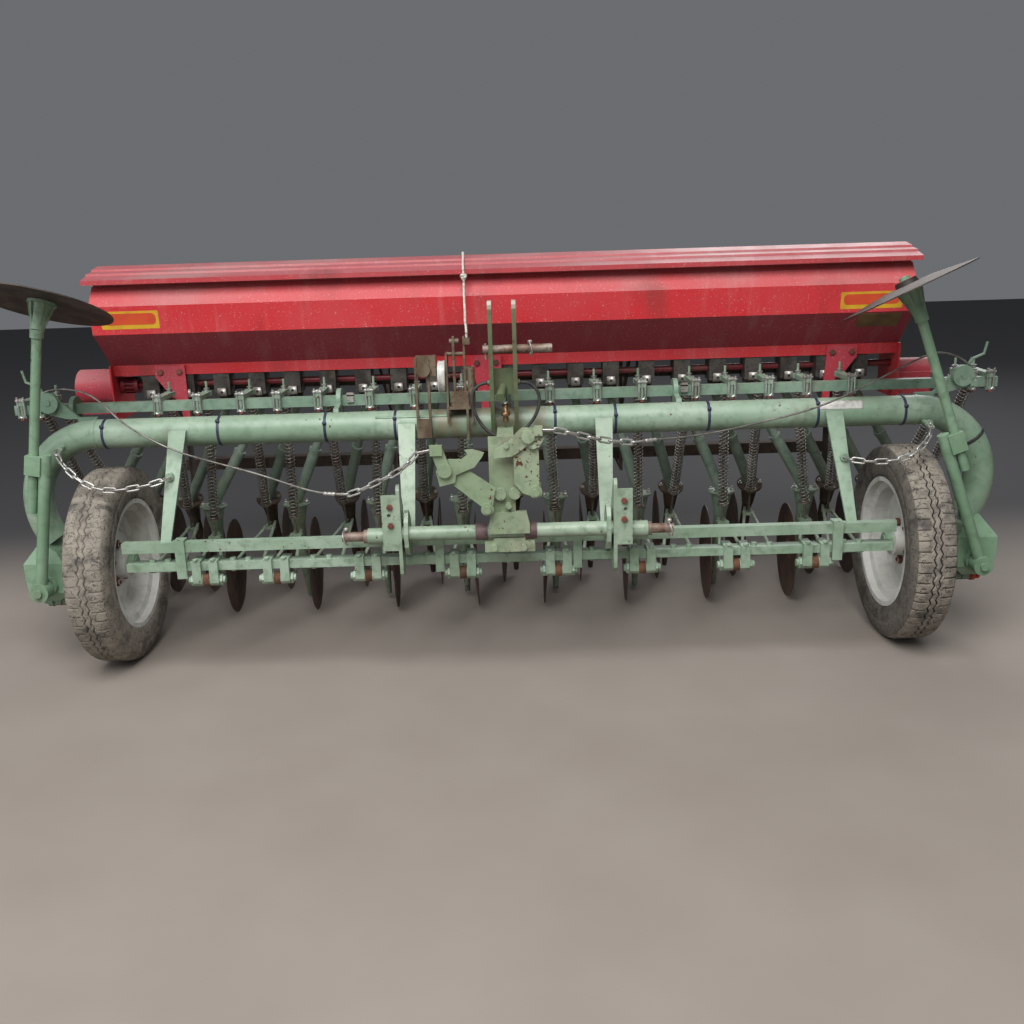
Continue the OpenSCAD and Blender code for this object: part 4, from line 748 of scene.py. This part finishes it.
def chain_link(a, b, quarter):
    """One link between two points of the chain: centre line of a stadium, then a ring of points
    round the wire at each place on it."""
    a, b = np.asarray(a, float), np.asarray(b, float)
    along = unit(b - a)
    side = unit(np.cross(along, (0.1, 0.35, 1.0)))
    rise = np.cross(along, side)
    flat, up = (side, rise) if quarter == 0 else (rise, side)
    radius = (LINK_WIDTH - LINK_WIRE) / 2
    half = (np.linalg.norm(b - a) + LINK_WIRE) / 2 - radius
    t = np.linspace(-np.pi / 2, np.pi / 2, 9)
    bend = np.column_stack([np.cos(t), np.sin(t)])
    out = np.concatenate([bend, -bend])
    line = radius * out + half * np.sign([[1, 0]] * 9 + [[-1, 0]] * 9)
    centre = (a + b) / 2 + line[:, :1] * along + line[:, 1:] * flat
    return closed_wire(centre, out[:, :1] * along + out[:, 1:] * flat, up, LINK_WIRE / 2, 8)


links = []
for route in CHAINS:
    path, length = lead(route, 1.0)
    count = int(round(length / LINK_PITCH))
    ends = path[np.linspace(0, len(path) - 1, count + 1).astype(int)]
    links += [chain_link(ends[i], ends[i + 1], i % 2) for i in range(count)]
add_piece("chain_links", together(links), chain_zinc, replaces=["chains"])
print(len(links), "chain links")

# %% [markdown]
# ## Where each coulter stands
# The twenty one rows differ by their hinge, their casting and their rank: front, rear, or outer for
# the two rows beyond each wheel. No formula gives the places of the hinges and castings, so they
# are tables. These tables and functions give the same points as the CAD, so that springs and bolts
# land on them. A pair in a table is Y and Z.

# %% Row geometry
HINGE_X = [-1427, -1427, -1030, -893, -792, -684, -554, -414, -264, -135, 22, 146, 268, 392, 509, 668, 745,
           900, 1009, 1427, 1427]
CASTING_X = [-1503, -1445, -1080, -956, -821, -708, -580, -420, -282, -138, 0, 140, 287, 427, 593, 705, 820,
             938, 1075, 1445, 1503]
ROWS = range(21)
ROW_PITCH, OUTLET_PITCH = 143, 116
HINGE_AT = {"front": (-208, 311), "rear": (-148, 330), "outer": (0, 186)}
FLANGE_AT = {"front": (330, 403), "rear": (530, 375), "outer": (530, 375)}
BEHIND_FLANGE = {"front": -6, "rear": 30, "outer": 30}
FOOT_Y = {"front": 258, "rear": 440, "outer": 462}
COLLAR_Z = {"front": 378, "rear": 388, "outer": 430}
ROD_Y = {"front": 190, "rear": 204, "outer": 204}
BOOT_LEAN = {"front": 0, "rear": 26, "outer": 26}
ROD_TOP_Z, ARM_BELOW_FLANGE, FOOT_ABOVE_ARM = 798.2, 98, 8.8


def rank(k):
    """The rank in which a row's disc runs."""
    if k <= 1 or k >= 19:
        return "outer"
    return "front" if k % 2 == 1 else "rear"


def flange(k):
    """Middle of the top face of a row's boot."""
    side = -1 if k < 10 else 1
    return np.array([(k - 10) * ROW_PITCH + side * 16, *FLANGE_AT[rank(k)]], float)


def flange_normal(k):
    """The way in which that face looks: straight up, or leaning forwards in the rear ranks."""
    lean = math.radians(BOOT_LEAN[rank(k)])
    return np.array([0, -math.sin(lean), math.cos(lean)])


def arm_at(k, y):
    """The arm's centre line at a distance behind the axle: straight from hinge to boot."""
    hinge = np.array([HINGE_X[k], *HINGE_AT[rank(k)]], float)
    rear = flange(k) + (0, BEHIND_FLANGE[rank(k)], -ARM_BELOW_FLANGE)
    return hinge + (rear - hinge) * (y - hinge[1]) / (rear[1] - hinge[1])


def rod_at(k, z):
    """The spring rod's centre line at a height."""
    top = np.array([CASTING_X[k], ROD_Y[rank(k)], ROD_TOP_Z])
    foot = arm_at(k, FOOT_Y[rank(k)]) + (0, 0, FOOT_ABOVE_ARM)
    return top + (foot - top) * (top[2] - z) / (top[2] - foot[2])


front_rows = [k for k in ROWS if rank(k) == "front"]
print("rows in front:", len(front_rows), "behind:", len(ROWS) - len(front_rows))

# %% [markdown]
# ## Wound springs
# Each row is pressed down by a long close-wound spring on its rod. A Screw modifier winds with one
# pitch from end to end, but these springs have closed end turns. So the wire's centre is a formula
# round the rod, p(t) = rod(t) + R (cos 2 pi n t, sin 2 pi n t), with n turns from the collar to the
# casting, and a small ring of points is swept along it.

# %% Springs
SPRING_TOP, SPRING_RADIUS, WIRE_RADIUS, WINDING_PITCH, PER_TURN = 789.0, 14.6, 2.35, 11.6, 14


def wound_spring(k):
    """A helix round row k's rod with closed end turns: the rise is held back near both ends."""
    low = rod_at(k, COLLAR_Z[rank(k)] + 2.8)
    high = rod_at(k, SPRING_TOP - 2.4)
    turns = int(np.linalg.norm(high - low) / WINDING_PITCH)
    t = np.linspace(0, 1, turns * PER_TURN + 1)
    flat_share = 0.8 / turns
    rise = np.clip((t - flat_share) / (1 - 2 * flat_share), 0, 1)
    along = unit(high - low)
    side = unit(np.cross(along, (0, 1, 0)))
    turn_angle = (2 * np.pi * turns * t + k)[:, None]
    radial = np.cos(turn_angle) * side + np.sin(turn_angle) * np.cross(along, side)
    centre = low + rise[:, None] * (high - low) + SPRING_RADIUS * radial
    w = np.linspace(0, 2 * np.pi, 5, endpoint=False)[None, :, None]
    return skin(centre[:, None] + WIRE_RADIUS * (np.cos(w) * radial[:, None] + np.sin(w) * along))


add_piece("wound_springs", together([wound_spring(k) for k in ROWS]), spring_steel,
          replaces=["coulter_springs"])
print("springs of", made_pieces["wound_springs"], "triangles")

# %% [markdown]
# ## Tyres
# Bump alone would leave the tyre's outline smooth, so the grooves are cut in the mesh. The tread is
# a grid in polar form: one row of points for each of 720 angles, one column for each place across.
# A height map, 1 on the blocks and 0 in the grooves, lowers the radius by up to 7 mm. Two zig-zag
# grooves follow x = +-9 + 3.5 tri(t), where tri runs from -1 to 1 and back sixty times a turn,
# about every 32 mm. Each shoulder has one short slot per zig-zag. The grooves of the left tyre hold
# more soil. The height is kept on the points for the soil colour.

# %% Tyres
WHEEL_X, TYRE_R, TYRE_STEPS, PERIOD = 1228, 305.0, 720, 12
GROOVE_X, GROOVE_WAVE, GROOVE_HALF, GROOVE_DEPTH, SHOULDER_X = 9, 3.5, 2.1, 7.0, 17
SOIL_IN_GROOVES = {-1: 0.5, 1: 0.15}
HALF_TREAD = np.array([0, 2, 4, 5.2, 6.4, 7.6, 8.8, 10, 11.2, 12.4, 13.6, 15, 17, 20, 23, 26, 29, 32, 35, 38,
                       41, 44, 47, 50, 52.5])
HALF_SIDE = np.array([[55, 296], [58, 291], [61, 284], [63.4, 277], [65, 270], [65.8, 263], [66, 256],
                      [65.6, 255], [65.6, 249], [66, 248], [65.8, 240], [65.4, 232], [64.4, 224],
                      [63.6, 217], [61, 211], [58, 205.4], [52, 204.3], [51, 194.3], [25, 194]], float)


def tyre_shape(side):
    """The shape and the tread heights of one tyre; side is -1 for the left one."""
    tread_x = np.concatenate([-HALF_TREAD[:0:-1], HALF_TREAD])
    profile_x = np.concatenate([tread_x, HALF_SIDE[:, 0], -HALF_SIDE[::-1, 0]])
    tread_r = TYRE_R - 6.0 * np.clip((np.abs(tread_x) - 30) / 22.5, 0, 1) ** 2
    profile_r = np.concatenate([tread_r, HALF_SIDE[:, 1], HALF_SIDE[::-1, 1]])
    step = np.arange(TYRE_STEPS)[:, None]
    phase = step % PERIOD
    wave = 1 - 4 * np.abs(phase / PERIOD - 0.5)
    tread = np.ones((TYRE_STEPS, len(tread_x)))
    for middle in (-GROOVE_X, GROOVE_X):
        tread *= 1 - np.exp(-(((tread_x - middle - GROOVE_WAVE * wave) / GROOVE_HALF) ** 4))
    slots = (phase == 3) & (tread_x < -SHOULDER_X) | (phase == 9) & (tread_x > SHOULDER_X)
    tread[slots] = 0.1
    height = np.ones((TYRE_STEPS, len(profile_x)))
    height[:, :len(tread_x)] = tread
    lumps = np.sin(step * 0.9) * np.sin(profile_x * 0.4 + step * 0.13) * 0.35
    depth = GROOVE_DEPTH * (1 - height) * (1 - SOIL_IN_GROOVES[side])
    radius = np.minimum(profile_r - depth * (np.abs(profile_x) < 53) + lumps * (profile_r > 250), TYRE_R)
    angle = 2 * np.pi * step / TYRE_STEPS
    x = np.broadcast_to(side * WHEEL_X + profile_x, radius.shape)
    points = np.stack([x, radius * np.cos(angle), TYRE_R + radius * np.sin(angle)], -1)
    height[:, len(tread_x):] = 0.5
    stored = 0.45 + 0.55 * height if side < 0 else height
    return outward(points.reshape(-1, 3), [grid_faces(TYRE_STEPS, len(profile_x), True)]), stored.reshape(-1)


for side, name in ((-1, "left"), (1, "right")):
    shape, stored = tyre_shape(side)
    piece = add_piece("tread_" + name, shape, tyre_rubber, "wheel_" + name, ["tyre_" + name])
    values = piece.data.attributes.new("tread_height", "FLOAT", "POINT")
    values.data.foreach_set("value", stored)
    print(piece.name, made_pieces[piece.name], "triangles")

# %% [markdown]
# ## Nuts and bolts
# A nut is a hexagon on a line with its corners taken off at both ends. That is a lathe shape with
# six sides, so the lathe function makes it and no cut is needed. Bolts are set where the photo
# shows them: on the castings, the boots, the hopper's brackets, the hub discs, the hinge lugs, the
# front bar and the hitch plates.

# %% Nuts, bolts and U-bolts
U_BOLT_Y, PLATE_BOLT_Y, CASTING_TOP, CASTING_FOOT = 74.5, 79, 815.5, 763
HUB_BOLT_R, FLANGE_BOLT_X = 62, 36


def hex_nut(start, end, flats, stud=0.0, stud_reach=0.0):
    """A bevelled hexagon between two points, flats across, with the end of its stud if given."""
    corner = flats / math.sqrt(3)
    made = [drum(start, end, corner, corner * 0.12, 0.14, 6)]
    if stud:
        start, end = np.asarray(start, float), np.asarray(end, float)
        far = end + unit(end - start) * stud_reach
        made.append(turned([(0, stud / 2), (0.8, stud / 2), (1, stud / 2 * 0.8)], start, far, 12))
    return together(made)


def u_bolt(x, y, low, high, half, wire):
    """A round bar bent to a U in the X and Z plane, open at the top."""
    t = np.linspace(-np.pi, 0, 9)
    bend = np.column_stack([half * np.cos(t), np.zeros(9), half * np.sin(t)])
    leg = high - low - half
    path = np.vstack([[-half, 0, leg], bend, [half, 0, leg]]) + (x, y, low + half)
    return tube(path, wire / 2, 10, (0, 1, 0))


shiny, green_heads, rusty_heads = [], [], []
for k in ROWS:
    x, rod_y = CASTING_X[k], ROD_Y[rank(k)]
    shiny.append(u_bolt(x, U_BOLT_Y, 764, 829, 9.5, 7))
    for s in (-1, 1):
        leg = x + s * 9.5
        shiny.append(hex_nut((leg, U_BOLT_Y, CASTING_TOP), (leg, U_BOLT_Y, CASTING_TOP + 6.5), 13))
    shiny.append(hex_nut((x, PLATE_BOLT_Y, CASTING_TOP), (x, PLATE_BOLT_Y, CASTING_TOP + 7.5), 16))
    rusty_heads.append(hex_nut((x, PLATE_BOLT_Y, CASTING_FOOT), (x, PLATE_BOLT_Y, CASTING_FOOT - 7.5), 16))
    shiny.append(hex_nut((x, rod_y, 815), (x, rod_y, 823), 15))
    shiny.append(turned([(0, 10), (1, 10)], (x, rod_y, 823), (x, rod_y, 825), 16))
    if rank(k) == "front":
        hinge_y, hinge_z = HINGE_AT["front"]
        for s in (-1, 1):
            a, b = HINGE_X[k] + s * 38, HINGE_X[k] + s * 25
            green_heads.append(hex_nut((a, hinge_y, hinge_z), (a + s * 9, hinge_y, hinge_z), 30))
            green_heads.append(hex_nut((b, -224, 374), (b, -224, 381), 15))
    up = flange_normal(k)
    for s in (-1, 1):
        base = flange(k) + (s * FLANGE_BOLT_X, 0, 0) - 2 * up
        shiny.append(hex_nut(base, base + 8 * up, 13, 7, 7))
for side in (-1, 1):
    for a in np.radians(np.arange(0, 360, 72)):
        y, z = HUB_BOLT_R * math.sin(a), TYRE_R - side * HUB_BOLT_R * math.cos(a)
        rusty_heads.append(hex_nut((side * 1244, y, z), (side * 1254, y, z), 24, 15, 6))
        rusty_heads.append(hex_nut((side * 1238, y, z), (side * 1226, y, z), 24, 15, 5))
for x in (-1088, -58, 1095):
    for dx in (-31, 31):
        rusty_heads.append(hex_nut((x + dx, 252.5, 872), (x + dx, 245, 872), 17))
for x in (-962, 962):
    for z in (412, 430):
        rusty_heads.append(hex_nut((x, -215, z), (x, -222, z), 14))
for z in (486, 540):
    for x in (-330, 330):
        rusty_heads.append(hex_nut((x, -300, z), (x, -307, z), 16))
for name, parts, finish in (("bright_bolts", shiny, chain_zinc), ("hinge_nuts", green_heads, sage),
                            ("rusty_bolts", rusty_heads, red_rust)):
    add_piece(name, together(parts), finish, smooth=False)
    print(name, len(parts), "parts,", made_pieces[name], "triangles")

# %% [markdown]
# ## Ties, bands and stickers
# Dark blue ties hold the tube's wiring, and a black band sits on the right bend. A sticker could be
# a pattern in the panel's paint, but a thin plate of its own keeps sharp edges without one. The
# stickers are blank: a thin red field with round ends on a slightly larger yellow plate.

# %% Ties, bands and stickers
TUBE_R, TUBE_Z, TIE_X = 44.45, 720, (-1216, -867, -544, -332, 151, 333, 614, 941, 1203)
BEND_R, BEND_X, BEND_Z, BAND_Z = 210, 1245.55, 510, 632
PANEL_LOW, PANEL_HIGH = (148, 1005), (138, 1092)
SLOPE_LOW, SLOPE_HIGH = (264, 896), (148, 1005)


def rounded(low_x, high_x, low_z, high_z, radius, steps=5):
    """A rectangle's outline with round corners."""
    points = []
    for cx, cz, start in ((high_x - radius, high_z - radius, 0), (low_x + radius, high_z - radius, 90),
                          (low_x + radius, low_z + radius, 180), (high_x - radius, low_z + radius, 270)):
        a = np.radians(start + np.linspace(0, 90, steps))
        points += list(zip(cx + radius * np.cos(a), cz + radius * np.sin(a)))
    return np.array(points)


def on_panel(outline, low, high, thickness, lift=0.0):
    """An outline of (x, z) laid on a sloping sheet. The sheet passes through the points low and
    high, each (y, z), so y = y0 + (z - z0) (y1 - y0) / (z1 - z0)."""
    slope = (high[0] - low[0]) / (high[1] - low[1])
    y = low[0] + (outline[:, 1] - low[1]) * slope
    normal = unit(np.array([0, -1.0, slope]))
    flat = np.column_stack([outline[:, 0], y, outline[:, 1]])
    return skin(np.stack([flat + lift * normal, flat + (lift + thickness) * normal]))


def round_patch(xs, low_angle, high_angle, thickness, waver=0.0):
    """A patch that hugs the portal tube between two angles from the front, with a torn edge:
    each row's upper angle changes by waver degrees."""
    rows = []
    for i, x in enumerate(xs):
        top = high_angle + waver * math.sin(i * 2.3) * (1 + 0.5 * math.sin(i * 5.1))
        a = np.radians(np.linspace(low_angle, top, 9))
        outer, inner = (np.column_stack([np.full(9, x), -r * np.cos(a), TUBE_Z + r * np.sin(a)])
                        for r in (TUBE_R + thickness, TUBE_R - 0.5))
        rows.append(np.concatenate([outer, inner[::-1]]))
    return skin(np.array(rows))


ties = []
for i, x in enumerate(TIE_X):
    ties.append(drum((x - 4, 0, TUBE_Z), (x + 4, 0, TUBE_Z), TUBE_R + 1.8, 0.8, 0.15, 48))
    a = math.radians(35 + 12 * math.sin(i * 2.1))
    head = np.array([x, -(TUBE_R + 4) * math.cos(a), TUBE_Z + (TUBE_R + 4) * math.sin(a)])
    ties.append(drum(head - (5.5, 0, 0), head + (5.5, 0, 0), 5.5, 1, 0.2, 8))
add_piece("wiring_ties", together(ties), tie_blue)

bend_angle = math.asin((BAND_Z - BEND_Z) / BEND_R)
bend_middle = np.array([BEND_X + BEND_R * math.cos(bend_angle), 0, BAND_Z])
bend_way = np.array([-math.sin(bend_angle), 0, math.cos(bend_angle)])
band = drum(bend_middle - 5 * bend_way, bend_middle + 5 * bend_way, TUBE_R + 2.5, 1.5, 0.08, 48)
add_piece("black_band", band, black_rubber_and_shade)

for name, low_x, high_x, low_z, high_z in (("left", -1247, -1067, 1022, 1077),
                                           ("right", 1049, 1240, 1016, 1068)):
    plate = rounded(low_x, high_x, low_z, high_z, 3)
    add_piece("sticker_" + name, on_panel(plate, PANEL_LOW, PANEL_HIGH, 0.5), sticker_yellow, smooth=False)
    field = rounded(low_x + 9, high_x - 9, low_z + 13, high_z - 7, 13)
    add_piece("sticker_field_" + name, on_panel(field, PANEL_LOW, PANEL_HIGH, 0.5, 0.5), sticker_red,
              smooth=False)
tan_plate = on_panel(rounded(1115, 1246, 956, 1000, 5), SLOPE_LOW, SLOPE_HIGH, 0.8)
add_piece("tan_plate", tan_plate, sticker_tan, smooth=False)
add_piece("torn_label", round_patch(np.linspace(937, 1076, 22), 20, 58, 0.5, 3.0), white_plastic)
add_piece("tube_strip", round_patch(np.linspace(-390, -159, 12), 38, 46, 2.5), mint)
print("ties, band and stickers made")

# %% [markdown]
# ## Hitch and middle
# Linch pins lock the lower link pins: a spike through the pin's end and a sprung ring. In the
# middle stand the changeover unit's white pulley, a brass fitting and zinc clips. Two brown bands
# lie round the hitch tube beside the centre plate. These are turned or bent pieces, so the same few
# functions make them.

# %% Hitch fittings
HITCH_Y, HITCH_Z, BAND_R = -270, 452, 24.1
PIN_X, PIN_Y, PIN_Z = 463, -264, 446


def ring_of(middle, normal, radius, wire, sides=8, steps=40):
    """A closed ring of round wire about a normal."""
    normal = unit(np.asarray(normal, float))
    u = unit(np.cross(normal, (0.3, 0.2, 1.0)))
    a = np.linspace(0, 2 * np.pi, steps, endpoint=False)[:, None]
    out = np.cos(a) * u + np.sin(a) * np.cross(normal, u)
    return closed_wire(np.asarray(middle, float) + radius * out, out, normal, wire / 2, sides)


def spike(place, down, up, radius):
    """A linch pin's spike with its thicker head, from below to above a place."""
    profile = [(0, 2), (0.12, radius), (0.8, radius), (0.82, radius + 3), (0.95, radius + 3), (1, 5)]
    return turned(profile, np.array(place) - (0, 0, down), np.array(place) + (0, 0, up), 14)


pins = []
for s in (-1, 1):
    pins.append(spike((s * PIN_X, PIN_Y, PIN_Z), 26, 28, 4.5))
    pins.append(ring_of((s * PIN_X, PIN_Y - 21, PIN_Z + 3), (1, 0.1 * s, 0.25), 20, 4))
pins.append(spike((80, -80, 949), 22, 24, 4))
pins.append(ring_of((80, -99, 952), (1, 0.2, 0.2), 18, 3.6))
add_piece("linch_pins", together(pins), zinc)

pulley_face = turned([(0, 44), (0.06, 47.6), (0.2, 47.6), (0.3, 46.4), (0.7, 46.4), (0.8, 47.6),
                      (0.94, 47.6), (1, 44)], (-195.5, -30, 868), (-172.5, -30, 868), 48)
add_piece("rope_pulley_face", pulley_face, white_plastic)
fitting = turned([(0, 6), (0.1, 8), (0.45, 8), (0.46, 11), (0.6, 11), (0.61, 7), (0.9, 7), (1, 5)],
                 (3, -75, 733), (3, -75, 784), 18)
add_piece("brass_fitting", together([fitting, hex_nut((3, -75, 752), (3, -75, 762), 24)]), brass)
bands = [drum((x - 18, HITCH_Y, HITCH_Z), (x + 18, HITCH_Y, HITCH_Z), BAND_R, 1, 0.04, 40) for x in (-74, 66)]
add_piece("hitch_bands", together(bands), band_brown)

clips = []
for x in (-480, 558):
    clips.append(block(rounded(x - 11, x + 11, 782, 812, 3, 3), 78.5, 84, "y"))
    clips.append(block([(x - 11, 78.5), (x + 11, 78.5), (x + 11, 112), (x - 11, 112)], 801, 805, "z"))
for s in (-1, 1):
    clips.append(u_bolt(-236 + s * 6, -70, 884, 902, 4, 3))
add_piece("zinc_clips", together(clips), zinc, smooth=False)
print("pins, pulley, fitting, bands and clips made")

# %% [markdown]
# ## Boots, barrels and feed tabs
# The front hinges' barrels are bare and brown between the green lugs. Every outlet has a bright tab
# with a black disc of painted shade for the hole at its front, and each boot a rolled rim round its
# flange. The lugs of the outermost coulter on the right are painted orange red. Their node wears one
# green, so they get thin red skins instead of a second pattern in the green.

# %% Barrels, tabs and rims
TAB_Z, BOOT_R, LUG_R = 800, 43.2, 17.6
barrels, tabs, holes, front_rims, rear_rims, lugs = [], [], [], [], [], []
for k in ROWS:
    if rank(k) == "front":
        ends = [(HINGE_X[k] + half, *HINGE_AT["front"]) for half in (-11.5, 11.5)]
        barrels.append(drum(*ends, 18.5, 1.5, 0.08, 32))
    x = (k - 10) * OUTLET_PITCH
    tabs.append(block(rounded(x - 14.5, x + 14.5, TAB_Z - 13.5, TAB_Z + 13.5, 4, 4), 259.4, 262, "y"))
    # a black disc of painted shade stands for the hole in each tab
    holes.append(turned([(0, 4.6), (1, 4.6)], (x, 261, TAB_Z), (x, 258.9, TAB_Z), 16))
    up = flange_normal(k)
    rims = front_rims if rank(k) == "front" else rear_rims
    rims.append(ring_of(flange(k) - 4 * up, up, BOOT_R, 5.5, 8, 48))
lug_y, lug_z = HINGE_AT["outer"]
for x in (1383.5, 1455.5):
    lugs.append(drum((x, lug_y, lug_z), (x + 15, lug_y, lug_z), LUG_R, 1.1, 0.05, 32))
    lugs.append(block([(-17.4, lug_z), (17.4, lug_z), (17.4, 206), (-17.4, 206)], x, x + 15, "x"))
lugs.append(drum((1474, lug_y, lug_z), (1486, lug_y, lug_z), 13, 1, 0.1))
for name, parts, finish in (("hinge_barrels", barrels, rusty), ("red_lugs", lugs, signal_red),
                            ("feed_tabs", tabs, zinc), ("tab_hole_shades", holes, black_rubber_and_shade),
                            ("front_boot_rims", front_rims, dirty_green),
                            ("rear_boot_rims", rear_rims, rusty)):
    add_piece(name, together(parts), finish)
print("barrels", len(barrels), "tabs", len(tabs), "boot rims", len(front_rims) + len(rear_rims))

# %% Finish
print("triangles of the new pieces", sum(made_pieces.values()), "largest", max(made_pieces.values()))
